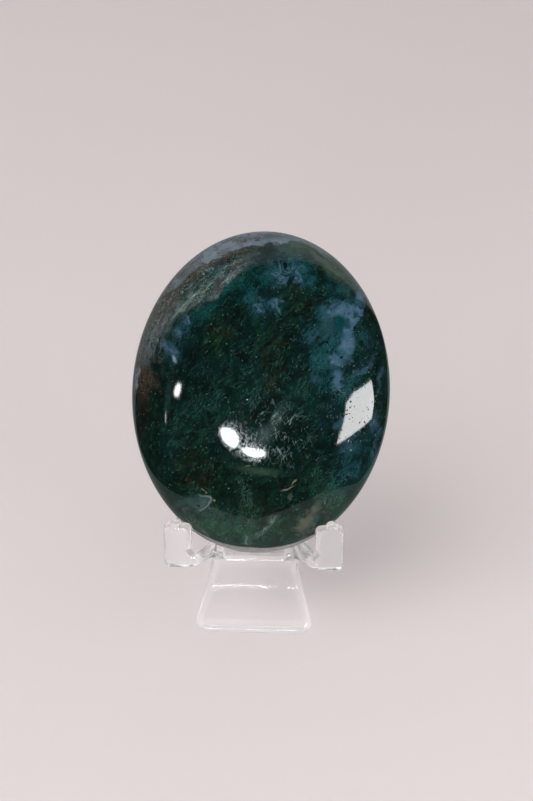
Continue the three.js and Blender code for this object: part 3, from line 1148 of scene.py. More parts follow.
    def foot_marks(self, coat: Coat) -> None:
        """The stone's foot: sandy patches, a glassy wing, fronds, pale wisps and tan shards.

        Args:
            coat: The coat so far.
        """
        graph, place = coat.graph, coat.place
        gently = coat.moved(scale=0.5, amount=1.2)
        torn = coat.uneven(place, scale=0.7, amount=2.6, detail=6.0)
        cloudy = graph.ramp(graph.noise(gently, 0.4, detail=3, rough=0.5), 0.34, 0.62, 0.3, 0.6)
        coat.lay(self.SAND, coat.blots(gently, torn, *SAND_PATCHES), cloudy)
        x = graph.axes(place)[0]
        soft = coat.uneven(place, scale=0.5, amount=0.8)
        wing = coat.blots(place, soft, GLASSY_WING)
        cut = graph.less(1.0, coat.blots(place, soft, WING_CUT))
        coat.lay(self.GREY_GREEN, wing, cut, cloudy, share=0.85)
        coat.lay(self.MIST, wing, cut, graph.ramp(x, -12.9, -9.9, 0.0, 0.22))
        edge = graph.product(graph.ramp(wing, 0.0, 0.25), graph.ramp(wing, 0.5, 0.25))
        coat.lay(self.SILVER, edge, cut, graph.ramp(x, -12.2, -10.6), share=0.34)
        long = {"Stretch": 0.35, "Curl": 0.9, "Detail": 2.0}
        feathers = coat.threads(gently, turn=-0.45, scale=0.6, width=0.035, **long)
        crossing = coat.threads(gently, turn=0.5, scale=0.6, width=0.03, **long)
        plumed = graph.math("ADD", graph.math("MAXIMUM", feathers, crossing), 0.25)
        coat.lay(self.FROND, coat.blots(gently, torn, *FRONDS), plumed, share=0.55)
        tufts = coat.strands(gently, turn=0.1, count=9.0, Scale=0.5, Stretch=0.4, Width=0.6, Detail=3.0)
        coat.lay(self.SILVER, coat.blots(gently, torn, *WISPS), graph.ramp(tufts, 0.0, 1.0, 0.08, 0.3))
        shards = coat.blots(gently, coat.uneven(place, scale=1.2, amount=1.4), *TAN_SHARDS)
        coat.lay(self.TAN, shards, share=0.42)

    def inclusions(self, coat: Coat) -> None:
        """Silvery hairs beside the front highlight, painted bright as glints of fibres that it lights, thin
        golden threads and scattered tiny grains.

        Args:
            coat: The coat so far.
        """
        graph, place = coat.graph, coat.place
        fibres = coat.threads(place, turn=0.65, scale=0.8, width=0.011, Stretch=0.16, Curl=0.25, Detail=1.0)
        crossed = coat.threads(place, turn=-0.5, scale=0.8, width=0.011, Stretch=0.2, Curl=0.35, Detail=1.0)
        glinting_hairs = graph.math("MAXIMUM", fibres, crossed)
        # Painted highlight: fibres are painted silver only beside the front highlight, as glints of the
        # fibres that it lights.
        hair_glint_area = coat.blots(coat.drifted, 0.0, GLINTING_HAIR_AREA)
        coat.lay(self.SILVER, glinting_hairs, coat.gate(0.6, 0.44, 0.58, 0.08), hair_glint_area, share=0.5)
        gilt = coat.threads(coat.drifted, turn=0.6, scale=0.13, width=0.002, Stretch=0.7, Detail=2.0)
        coat.lay(self.GOLD, gilt, coat.gate(0.5, 0.5, 0.56), share=0.16)
        gently = coat.moved(scale=0.5, amount=1.2)
        coat.lay(self.SILVER, coat.grains(place, scale=1.7, radius=0.14, share=0.2), share=0.55)
        coat.lay(self.GOLD, coat.grains(gently, scale=1.5, radius=0.14, share=0.2), share=0.45)
        coat.lay(self.BLACK, coat.grains(gently, scale=0.6, radius=0.22, share=0.16), share=0.9)

    def rim_skin_and_reflection(self, coat: Coat) -> None:
        """The grey band along the lowest part of the rim, bowed as the rim is: partly a clear grey skin of
        the stone, partly a painted reflection of the pale stand and floor at the grazing rim.

        Args:
            coat: The coat so far.
        """
        graph = coat.graph
        x, depth, z = graph.axes(coat.place)
        bowed = graph.less(depth, graph.product(graph.math("ABSOLUTE", x), 0.09))
        front = graph.ramp(bowed, -4.1, -3.95)
        back = graph.ramp(bowed, 4.5, 4.0)
        clear = graph.ramp(graph.noise(coat.place, 0.8, detail=5, rough=0.6), 0.3, 0.7, 0.7, 1.0)
        # Partly grey skin, partly painted reflection of the pale stand and floor at the grazing lowest rim.
        coat.lay(self.SKIN_AND_REFLECTION_GREY, front, back, graph.ramp(z, -27.5, -30.0), clear)

    def polish(self, coat: Coat) -> tuple[Socket, Socket]:
        """The polished surface: small open pits in groups, and fine fibre marks.

        Args:
            coat: The coat so far.

        Returns:
            The pit mask, and the height to feed a Bump node, in millimetres.
        """
        graph, place = coat.graph, coat.place
        pitted = coat.blots(place, coat.uneven(place, scale=0.3, amount=2.0), PITTED_AREA)
        pits = coat.grains(coat.moved(scale=1.6, amount=0.7), scale=1.5, radius=0.26, share=0.42)
        pits = graph.product(pits, graph.math("MAXIMUM", pitted, coat.gate(0.3, 0.54, 0.62, 0.0, 0.8)))
        marks = coat.threads(place, turn=0.3, scale=1.7, width=0.05, Stretch=0.4, Curl=1.5, Detail=2.0)
        lifted = graph.ramp(coat.blots(place, 0.0, MARKED_AREA), 0.0, 1.0, 0.0003, 0.0015)
        return pits, graph.math("ADD", graph.product(pits, -0.06), graph.product(marks, lifted))

    def material(self) -> bpy.types.Material:
        """The whole finish.

        Returns:
            The material.
        """
        material, graph, shader, _ = blank_material("polished moss agate")
        place = self.place(graph)
        drifted = graph.group(self.kit.drift, Place=place, Scale=0.16, Amount=3.6)
        coat = Coat(self.kit, graph, place, drifted, self.DEEP_GREEN)
        self.ground(coat)
        self.moss(coat)
        self.chalcedony(coat)
        rim = self.rim_pattern(coat)
        self.rim_bands(coat, rim)
        self.rim_edge(coat, rim)
        self.left_rim(coat, rim)
        self.foot_marks(coat)
        self.inclusions(coat)
        self.rim_skin_and_reflection(coat)
        pits, height = self.polish(coat)
        # Painted shade: the open pits are darkened.
        coat.lay(self.BLACK, pits, share=0.7)
        graph.feed(shader.inputs["Base Color"], coat.colour)
        graph.feed(shader.inputs["Roughness"], graph.ramp(pits, 0.0, 1.0, self.GLOSSY, self.PITTED))
        shader.inputs["IOR"].default_value = self.QUARTZ_IOR
        bump = graph.node("ShaderNodeBump", Height=height, Distance=MM, Strength=1.0)
        graph.feed(shader.inputs["Normal"], bump.outputs["Normal"])
        return material


@dataclass
class PalmStone:
    """The polished oval stone: two equal domes that meet at a round rim."""

    kit: PatternKit
    half_wide: float = 28.05
    half_tall: float = 35.15
    half_thick: float = 11.5
    power: float = 2.1
    lean: float = math.radians(27.0)
    roll: float = math.radians(2.9)
    rings: int = 190
    segments: int = 380
    hollow: float = 0.012
    inset: float = 0.02

    def centre(self) -> Vector:
        """The stone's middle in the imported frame, in metres."""
        low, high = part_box(Node.STONE.value)
        return (low + high) / 2

    def turn(self) -> Matrix:
        """The stone's roll about its own thickness, and then its lean to the back."""
        return Matrix.Rotation(-self.lean, 3, "X") @ Matrix.Rotation(self.roll, 3, "Y")

    def surface(self) -> tuple[np.ndarray, list]:
        """The skin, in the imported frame.

        With u from the front pole to the back pole and v once round, the reach from the middle
        is sin(u) to the power 2/p, the depth is cos(u) to the power 2/p with its sign, and the
        point is (half width * reach * cos v, -half thickness * depth, half height * reach *
        sin v). A few low waves of a hundredth of a millimetre stand for the hand polish.

        Returns:
            The points in metres, and the faces.
        """
        u = np.linspace(0, math.pi, self.rings + 2)[1:-1, None]
        v = np.linspace(0, 2 * math.pi, self.segments, endpoint=False)[None, :]
        reach = np.abs(np.sin(u)) ** (2 / self.power)
        depth = np.sign(np.cos(u)) * np.abs(np.cos(u)) ** (2 / self.power)
        waves = np.sin(3 * v + 5 * u) + np.sin(5 * v - 7 * u + 1.3) + np.sin(2 * v + 11 * u + 0.4)
        swell = 1 - (self.inset - self.hollow * waves / 3 * np.sin(u)) / self.half_thick
        grid = np.stack(
            [
                self.half_wide * reach * np.cos(v) * swell,
                -self.half_thick * depth * swell,
                self.half_tall * reach * np.sin(v) * swell,
            ],
            axis=-1,
        )
        poles = np.array([[0, -self.half_thick + self.inset, 0], [0, self.half_thick - self.inset, 0]])
        skin, faces = closed_loft(grid)
        first, last = len(skin), len(skin) + 1
        faces = faces[:-2]
        here = np.arange(self.segments)
        there = (here + 1) % self.segments
        end = (self.rings - 1) * self.segments
        front = np.stack([np.full_like(here, first), there, here], axis=-1)
        back = np.stack([np.full_like(here, last), end + here, end + there], axis=-1)
        points = np.concatenate([skin, poles]) @ np.array(self.turn()).T
        return points * MM + np.array(self.centre()), faces + front.tolist() + back.tolist()

    def build(self) -> bpy.types.Object:
        """Returns:
            The stone.
        """
        points, faces = self.surface()
        stone = mesh_object("moss_agate_stone", points, faces)
        turn = self.turn().to_euler("XYZ")
        finish = AgateFinish(self.kit, self.centre(), turn, self.half_wide, self.half_tall)
        stone.data.materials.append(finish.material())
        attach(stone, BODY)
        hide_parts(Node.STONE.value)
        return stone


# The stand


@dataclass(frozen=True)
class ClearPlasticFinish:
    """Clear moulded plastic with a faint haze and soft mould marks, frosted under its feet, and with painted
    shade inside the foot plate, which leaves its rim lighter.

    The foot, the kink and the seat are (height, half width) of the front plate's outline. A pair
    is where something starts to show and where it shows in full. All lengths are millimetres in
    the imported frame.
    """

    kit: PatternKit
    foot: tuple[float, float]
    kink: tuple[float, float]
    seat: tuple[float, float]
    tint: Colour = (0.985, 0.978, 0.982)
    haze: Colour = (0.95, 0.94, 0.945)
    contact: Colour = (0.6, 0.58, 0.585)
    # The painted shade: the colour laid inside the foot plate, away from its rim.
    painted_shade: Colour = (0.875, 0.86, 0.865)
    frost: Colour = (0.68, 0.66, 0.67)
    middle_x: float = -0.9
    shade_side: tuple[float, float] = (1.5, 2.5)
    shade_top: tuple[float, float] = (14.0, 12.5)
    shade_foot: tuple[float, float] = (0.8, 1.4)
    dull_x: float = -3.3
    dull_wide: tuple[float, float] = (8.0, 1.5)
    dull_tall: tuple[float, float] = (2.2, 0.0)
    dull: float = 0.16
    gloss: tuple[float, float] = (0.05, 0.12)
    swell_top: tuple[float, float] = (13.0, 9.0)
    swell: float = 11.0
    relief: float = 0.05
    scuff: float = -0.002
    sole_top: tuple[float, float] = (0.12, 0.04)
    contact_top: tuple[float, float] = (0.9, 0.3)
    clearness: float = 0.94
    index: float = 1.49

    def inside(self, graph: Graph, across: Socket, height: Socket) -> Socket:
        """A mask of the foot plate's inside, away from its edges, where the painted shade is laid.

        Args:
            graph: The material's graph.
            across: The place's X.
            height: The place's Z.

        Returns:
            The mask.
        """
        foot_half = graph.ramp(height, self.foot[0], self.kink[0], self.foot[1], self.kink[1])
        wall_loss = graph.ramp(height, self.kink[0], self.seat[0], 0.0, self.kink[1] - self.seat[1])
        inward = graph.less(graph.less(foot_half, wall_loss), self.beside(graph, across, self.middle_x))
        side = graph.ramp(inward, *self.shade_side)
        return graph.product(side, graph.ramp(height, *self.shade_top), graph.ramp(height, *self.shade_foot))

    def beside(self, graph: Graph, value: Socket, spot: float) -> Socket:
        """How far the value is from the spot."""
        return graph.math("ABSOLUTE", graph.less(value, spot))

    def relief_height(self, graph: Graph, place: Socket, height: Socket) -> Socket:
        """Mould ripple, a stronger swell in the foot, and fine scuffs, in millimetres.

        Args:
            graph: The material's graph.
            place: Where the patterns are read.
            height: The place's Z.

        Returns:
            The height to feed a Bump node.
        """
        ripple = graph.noise(place, 0.35, detail=3, rough=0.5)
        rising = graph.ramp(height, *self.swell_top, 0.0, self.swell)
        swell = graph.product(graph.noise(place, 0.16, detail=1), rising)
        scuffs = graph.group(self.kit.threads, Place=place, Turn=0.4, Stretch=0.2, Scale=1.4, Width=0.012)
        relief = graph.product(graph.math("ADD", ripple, swell), self.relief)
        return graph.math("ADD", relief, graph.product(scuffs, self.scuff))

    def mixed(self, graph: Graph, share: Socket, under: Socket, over: Socket) -> Socket:
        """Two shaders, with the share of the second.

        Args:
            graph: The material's graph.
            share: The share of the second.
            under: The first.
            over: The second.

        Returns:
            The mixed shader.
        """
        made = graph.node("ShaderNodeMixShader")
        for socket, value in zip(made.inputs, (share, under, over)):
            graph.feed(socket, value)
        return made.outputs["Shader"]

    def material(self) -> bpy.types.Material:
        """The whole finish. Lamps shine through it, so its shadow stays pale.

        Returns:
            The material.
        """
        material, graph, shader, output = blank_material("clear moulded plastic")
        coordinates = graph.node("ShaderNodeTexCoord").outputs["Object"]
        place = graph.node("ShaderNodeMapping", Vector=coordinates, Scale=(1 / MM,) * 3).outputs["Vector"]
        across, _, height = graph.axes(place)
        cloudy = graph.ramp(graph.noise(place, 0.25, detail=4, rough=0.55), 0.4, 0.7)
        moulded = graph.paint(cloudy, self.tint, self.haze)
        # Painted shade: the foot plate's inside is darkened, so its rim reads lighter.
        with_painted_shade = graph.paint(self.inside(graph, across, height), moulded, self.painted_shade)
        graph.feed(shader.inputs["Base Color"], with_painted_shade)
        side = graph.ramp(self.beside(graph, across, self.dull_x), *self.dull_wide)
        level = graph.ramp(self.beside(graph, height, self.kink[0]), *self.dull_tall)
        handled = graph.ramp(graph.noise(place, 0.9, detail=5, rough=0.65), 0.35, 0.75, *self.gloss)
        gloss = graph.math("ADD", handled, graph.product(side, level, self.dull))
        graph.feed(shader.inputs["Roughness"], gloss)
        relief = self.relief_height(graph, place, height)
        bump = graph.node("ShaderNodeBump", Height=relief, Distance=MM, Strength=1.0)
        graph.feed(shader.inputs["Normal"], bump.outputs["Normal"])
        shader.inputs["Transmission Weight"].default_value = self.clearness
        shader.inputs["IOR"].default_value = self.index
        matt = graph.node("ShaderNodeBsdfDiffuse", Color=self.frost).outputs["BSDF"]
        frosted = self.mixed(graph, graph.ramp(height, *self.sole_top), shader.outputs["BSDF"], matt)
        passed = graph.paint(graph.ramp(height, *self.contact_top), self.tint, self.contact)
        clear = graph.node("ShaderNodeBsdfTransparent", Color=passed).outputs["BSDF"]
        shadow = graph.node("ShaderNodeLightPath").outputs["Is Shadow Ray"]
        graph.feed(output.inputs["Surface"], self.mixed(graph, shadow, frosted, clear))
        return material


@dataclass
class DisplayStand:
    """The clear stand: front foot and wall, seat, rear leg, back rest, arms, hooks and discs.

    Each body is a closed skin. They are merged into one moulding by a fine voxel remesh and
    smoothed a little, which rounds the edges and the inner corners as a mould does.
    """

    kit: PatternKit
    plate: float = 2.2
    seat_top: float = 17.0
    seat_front: float = -0.4
    seat_back: float = 7.6
    kink_height: float = 8.2
    cut_splay: float = math.radians(38.3)
    toe_splay: float = math.radians(40.6)
    heel_splay: float = math.radians(41.9)
    rest_lean: float = math.radians(34.6)
    sole_height: float = 0.35
    bend: float = 3.2
    foot_half: float = 13.25
    foot_corner: float = 1.6
    kink_half: float = 10.75
    seat_half: float = 8.9
    tip_half: float = 5.6
    tip_height: float = 34.0
    tip_corner: float = 2.8
    tip_arc: float = 0.9
    arm_bottom: float = 16.0
    arm_top: float = 18.9
    arm_back: float = 2.6
    hook_top: float = 27.0
    hook_front: float = -6.1
    hook_outer: float = 19.45
    hook_outer_back: float = -2.8
    hook_inner_front: float = 14.8
    hook_inner: float = 12.9
    hook_inner_back: float = -3.7
    hook_corner: float = 1.0
    hook_shoulder: float = 1.4
    hook_foot: float = 1.2
    hook_arc: float = 0.95
    hook_inset: tuple[float, float] = (1.0, 0.45)
    hook_fillet: float = 2.4
    disc_radius: float = 1.3
    disc_height: float = 0.8
    disc_flat: float = 0.7
    disc_points: int = 40
    disc_levels: int = 20
    disc_x: float = 16.9
    disc_y: float = -4.4
    edge: float = 1.05
    plate_edge: float = 0.45
    plate_arc: float = 0.995
    draft: tuple[float, float, float] = (1.3, 1.2, 0.7)
    voxel: float = 0.22
    smoothing: int = 6
    smoothing_factor: float = 0.5
    levels: int = 64

    def seat_middle(self) -> float:
        """Height of the seat's middle line."""
        return self.seat_top - self.plate / 2

    def outline_half(self, z: np.ndarray) -> np.ndarray:
        """Half the stand's width at a height: straight lines from foot to kink, seat and tip.

        The foot's lower corners and the tip's upper corners are quarter circles: the half
        width loses r - sqrt(r^2 - h^2), h being the height into the corner.

        Args:
            z: Heights.

        Returns:
            Half widths.
        """
        heights = [self.foot_corner, self.kink_height, self.seat_top, self.tip_height - self.tip_corner]
        halves = [self.foot_half, self.kink_half, self.seat_half, self.tip_half]
        half = np.interp(z, heights, halves)
        low = np.clip(self.foot_corner - z, 0, self.foot_corner)
        high = np.clip(z - (self.tip_height - self.tip_corner), 0, self.tip_corner * self.tip_arc)
        half -= self.foot_corner - np.sqrt(self.foot_corner**2 - low**2)
        return half - (self.tip_corner - np.sqrt(self.tip_corner**2 - high**2))

    def bent_plate(self, corners: list, reach: float) -> tuple[np.ndarray, list]:
        """A plate of even thickness carried along a line, with slanting sides and round ends.

        The line's corners are rounded by quadratic curves that start a reach away. At each step
        a rounded rectangle stands square to the line. Within half a thickness r of an end, at
        the distance d from it, both its half sizes lose r - sqrt(r^2 - (r - d)^2). From foot to
        seat the outer face is narrower than the inner one by the draft on each side.

        Args:
            corners: The middle line's corners as (y, z).
            reach: How far from a corner its curve starts.

        Returns:
            Points and faces.
        """
        path = rounded_line(np.array(corners, float), reach, self.voxel / 2)
        tangent = np.gradient(path, axis=0)
        tangent /= np.linalg.norm(tangent, axis=1, keepdims=True)
        normal = np.stack([-tangent[:, 1], tangent[:, 0]], axis=-1)
        run = np.arange(len(path)) * self.voxel / 2
        half = self.plate / 2
        into_end = np.clip(half - np.minimum(run, run[-1] - run), 0, half * self.plate_arc)
        lost = half - np.sqrt(half**2 - into_end**2)
        ring = rounded_box_ring(self.outline_half(path[:, 1]) - lost, half - lost, self.plate_edge)
        heights = [0, self.kink_height, self.seat_middle() - self.plate, self.seat_middle()]
        draft = np.interp(path[:, 1], heights, [*self.draft, 0.0]) / self.kink_half
        outer = np.clip((ring[..., 1] + half) / self.plate, 0, 1)
        ring[..., 0] *= 1 - draft[:, None] * outer
        spot = path[:, None, :] + ring[..., 1:] * normal[:, None, :]
        return closed_loft(np.stack([ring[..., 0], spot[..., 0], spot[..., 1]], axis=-1))

    def sole(self, splay: float) -> tuple[float, float]:
        """How far a splayed plate's round end lies from where it starts to splay.

        Args:
            splay: The plate's splay from upright.

        Returns:
            The way along the floor for each millimetre of drop, and the end's drop under the floor.
        """
        return math.tan(splay), self.plate / 2 * math.cos(splay) - self.sole_height

    def front_plate(self) -> tuple[np.ndarray, list]:
        """The splayed toe, the upright wall, the seat and the back rest: one bent plate.

        Returns:
            Points and faces.
        """
        slope, under = self.sole(self.toe_splay)
        toe = (self.seat_front - slope * (self.kink_height + under), -under)
        kink = (self.seat_front, self.kink_height)
        lip = (self.seat_front, self.seat_middle())
        heel = (self.seat_back, self.seat_middle())
        tip_height = self.tip_height - self.plate / 2 * (1 - math.cos(self.rest_lean))
        tip = (self.seat_back + (tip_height - self.seat_middle()) * math.tan(self.rest_lean), tip_height)
        return self.bent_plate([toe, kink, lip, heel, tip], self.bend)

    def rear_leg(self) -> tuple[np.ndarray, list]:
        """The leg that runs from the seat's back edge down and back to the rear foot.

        Returns:
            Points and faces.
        """
        slope, under = self.sole(self.heel_splay)
        foot = (self.seat_back + slope * (self.seat_middle() + under), -under)
        return self.bent_plate([(self.seat_back, self.seat_middle()), foot], self.bend)

    def arm(self, side: int) -> tuple[np.ndarray, list]:
        """An arm: rounded rectangles carried sideways from the seat's side to under the hook.

        At each x its front and back follow the plan, and its under and upper faces rise from
        the seat's to the hook's, the upper one sweeping up into the post as a parabola.

        Args:
            side: 1 for the right arm, -1 for the left one.

        Returns:
            Points and faces.
        """
        root = self.seat_half - self.plate
        bend_start = self.seat_half - self.plate / 4
        sweep = self.hook_inner_front - self.hook_fillet
        end = self.hook_outer - 2 * self.hook_corner
        wall = self.seat_front - self.plate / 2
        x = np.linspace(root, end, self.levels)
        forward = eased(x, bend_start, self.hook_inner_front - 1)
        inward = eased(x, self.seat_half, self.hook_inner)
        along = eased(x, root, sweep)
        front = wall + (self.hook_front - wall) * forward
        back = self.arm_back + (self.hook_inner_back - self.arm_back) * inward
        under = self.seat_top - self.plate + (self.arm_bottom - self.seat_top + self.plate) * along
        upper = self.seat_top + (self.arm_top - self.seat_top) * along
        rise = np.clip((x - sweep) / (self.hook_inner_front - sweep), 0, 1)
        upper = upper + self.hook_fillet * rise**2
        ring = rounded_box_ring((back - front) / 2, (upper - under) / 2, self.edge)
        along = np.broadcast_to(x[:, None] * side, ring.shape[:2])
        depth = ring[..., 0] + ((back + front) / 2)[:, None]
        height = ring[..., 1] + ((upper + under) / 2)[:, None]
        grid = np.stack([along, depth, height], axis=-1)
        return closed_loft(grid if side > 0 else grid[:, ::-1])

    def hook(self, side: int) -> tuple[np.ndarray, list]:
        """A hook's post: its plan carried upwards, drawn in at both ends as a quarter circle.

        Args:
            side: 1 for the right hook, -1 for the left one.

        Returns:
            Points and faces.
        """
        corners = np.array(
            [
                [self.hook_inner_front, self.hook_front],
                [self.hook_outer, self.hook_front],
                [self.hook_outer, self.hook_outer_back],
                [self.hook_inner, self.hook_inner_back],
            ]
        )
        plan = rounded_outline(corners, self.hook_corner)
        middle = plan.mean(axis=0)
        z = np.linspace(self.arm_bottom, self.hook_top, self.levels)
        into_top = np.clip(z - (self.hook_top - self.hook_shoulder), 0, None)
        into_base = np.clip(self.arm_bottom + self.hook_foot - z, 0, self.hook_foot * self.hook_arc)
        inset = self.hook_shoulder - np.sqrt(self.hook_shoulder**2 - into_top**2)
        inset += self.hook_foot - np.sqrt(self.hook_foot**2 - into_base**2)
        half = np.abs(plan - middle).max(axis=0)
        scale = 1 - inset[:, None] / half[None, :] * np.array(self.hook_inset)
        ring = middle + (plan - middle)[None] * scale[:, None, :]
        heights = np.broadcast_to(z[:, None], ring.shape[:2])
        grid = np.stack([ring[..., 0] * side, ring[..., 1], heights], axis=-1)
        return closed_loft(grid if side > 0 else grid[:, ::-1])

    def disc(self, side: int) -> tuple[np.ndarray, list]:
        """The small round disc on a hook: a circle turned at heights with a rounded top edge.

        Args:
            side: 1 for the right disc, -1 for the left one.

        Returns:
            Points and faces.
        """
        around = np.linspace(0, 2 * math.pi, self.disc_points, endpoint=False)[None, :]
        z = np.linspace(self.hook_top - self.disc_height, self.hook_top + self.disc_height, self.disc_levels)
        into = np.clip(z - (self.hook_top + self.disc_height * self.disc_flat), 0, None)
        radius = (self.disc_radius - into)[:, None]
        grid = np.stack(
            [
                side * self.disc_x + radius * np.cos(around),
                self.disc_y + radius * np.sin(around),
                np.broadcast_to(z[:, None], (len(z), around.shape[1])),
            ],
            axis=-1,
        )
        return closed_loft(grid)

    def offset(self) -> np.ndarray:
        """How far the stand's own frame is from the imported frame, in metres.

        The CAD stand's box gives its middle plane, and the hooks' discs reach its front less
        than the toe does, so the toe's flat cut at the floor is set on the box's front.

        Returns:
            The move in X, Y and Z.
        """
        low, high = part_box(Node.STAND.value)
        toe = self.kink_height * math.tan(self.cut_splay) + self.plate / 2 / math.cos(self.cut_splay)
        toe_front = (self.seat_front - toe) * MM
        return np.array([(low.x + high.x) / 2, low.y - toe_front, low.z])

    def moulding(self) -> bpy.types.Mesh:
        """Merges all bodies into one skin and smooths it, still in millimetres.

        Returns:
            The merged mesh.
        """
        parts = [self.front_plate(), self.rear_leg()]
        for side in (1, -1):
            parts += [self.arm(side), self.hook(side), self.disc(side)]
        rough = mesh_object("stand_bodies", *joined_parts(parts))
        remesh = rough.modifiers.new("one moulding", "REMESH")
        remesh.mode = "VOXEL"
        remesh.voxel_size = self.voxel
        smooth = rough.modifiers.new("mould radii", "SMOOTH")
        smooth.factor = self.smoothing_factor
        smooth.iterations = self.smoothing
        settled = rough.evaluated_get(bpy.context.evaluated_depsgraph_get())
        merged = bpy.data.meshes.new_from_object(settled)
        bpy.data.objects.remove(rough)
        return merged

    def build(self) -> bpy.types.Object:
        """Returns:
            The stand.
        """
        mesh = self.moulding()
        points = np.empty(len(mesh.vertices) * 3)
        mesh.vertices.foreach_get("co", points)
        points = points.reshape(-1, 3) * MM + self.offset()
        points[:, 2] = np.clip(points[:, 2], 0, None)
        mesh.vertices.foreach_set("co", points.ravel())
        mesh.polygons.foreach_set("use_smooth", np.ones(len(mesh.polygons), bool))
        mesh.name = "clear_display_stand"
        mesh.update()
        stand = placed("clear_display_stand", mesh)
        stand.data.materials.clear()
        foot = (self.foot_corner, self.foot_half)
        kink = (self.kink_height, self.kink_half)
        seat = (self.seat_top, self.seat_half)
        stand.data.materials.append(ClearPlasticFinish(self.kit, foot, kink, seat).material())
        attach(stand, BODY)
        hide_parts(Node.STAND.value)
        return stand


# The studio


def away_from(bearing: np.ndarray | float, height: np.ndarray | float) -> np.ndarray:
    """Directions out of the aim, for bearings from the front to the right and heights.

    A direction is (sin b cos h, -cos b cos h, sin h).

    Args:
        bearing: Bearings in radians.
        height: Heights in radians.

    Returns:
        The directions, with X, Y and Z along the last axis.
    """
    level = np.cos(height)
    return np.stack([np.sin(bearing) * level, -np.cos(bearing) * level, np.sin(height)], axis=-1)


@dataclass(frozen=True)
class Softbox:
    """A flat lamp seen from the stone at a bearing and height, with its size, all in degrees.

    The stone does not mirror it.
    """

    name: str = "soft_key"
    bearing: float = -52.0
    height: float = 50.0
    size: float = 50.0
    glow: float = 1.7
    distance: float = 1.2

    def build(self, aim: Vector) -> bpy.types.Object:
        """Places the lamp so that it faces the aim.

        Args:
            aim: The point that the lamp faces.

        Returns:
            The lamp.
        """
        away = Vector(away_from(math.radians(self.bearing), math.radians(self.height)))
        data = bpy.data.lights.new(self.name, "AREA")
        data.shape = "SQUARE"
        data.size = 2 * self.distance * math.tan(math.radians(self.size / 2))
        data.energy = self.glow * math.pi * data.size**2
        lamp = placed(self.name, data)
        facing = away.to_track_quat("Z", "Y").to_matrix().to_4x4()
        lamp.matrix_world = Matrix.Translation(aim + away * self.distance) @ facing
        lamp.visible_camera = False
        lamp.visible_glossy = False
        return lamp


@dataclass(frozen=True)
class GlowCard:
    """A glowing card with rounded corners, given as (bearing, height) in degrees from the stone.

    Its glow is even up to the core's share of the way out, and fades from there to the edge.
    """

    name: str
    glow: float
    corners: tuple[tuple[float, float], ...]
    core: float = 0.5
    rounding: float = 90.0
    colour: Colour = (1.0, 1.0, 1.0)
    distance: float = 0.6
    rings: int = 12
    first_ring: float = 0.02

    def build(self, aim: Vector) -> bpy.types.Object:
        """Places rings from the card's middle to its outline on a ball round the aim.

        At the share t of the way out a point is middle + t * (outline - middle) in degrees, and
        then aim + distance * direction.

        Args:
            aim: The middle of the ball.

        Returns:
            The card.
        """
        outline = rounded_outline(np.array(self.corners, float), self.rounding)
        share = np.linspace(self.first_ring, 1, self.rings)
        middle = outline.mean(axis=0)
        degrees = middle + share[:, None, None] * (outline - middle)
        away = away_from(*np.radians(degrees).transpose(2, 0, 1))
        points, faces = closed_loft(np.array(aim) + away * self.distance)
        card = mesh_object(self.name, points, faces[:-1])
        reach = card.data.attributes.new("reach", "FLOAT", "POINT")
        reach.data.foreach_set("value", np.repeat(share, len(outline)))
        card.data.materials.append(self.material())
        card.visible_camera = False
        card.visible_shadow = False
        return card

    def material(self) -> bpy.types.Material:
        """The card's fading glow.

        Returns:
            The material.
        """
        material = bpy.data.materials.new(self.name)
        graph = cleared_graph(material)
        reach = graph.node("ShaderNodeAttribute", {"attribute_name": "reach"}).outputs["Fac"]
        fade = graph.ramp(reach, self.core, 1.0, 1.0, 0.0)
        strength = graph.product(fade, fade, self.glow)
        lit = graph.node("ShaderNodeEmission", Color=self.colour, Strength=strength)
        behind = graph.node("ShaderNodeBsdfTransparent")
        both = graph.node("ShaderNodeAddShader")
        graph.feed(both.inputs[0], lit.outputs["Emission"])
        graph.feed(both.inputs[1], behind.outputs["BSDF"])
        graph.node("ShaderNodeOutputMaterial", Surface=both.outputs["Shader"])
        return material


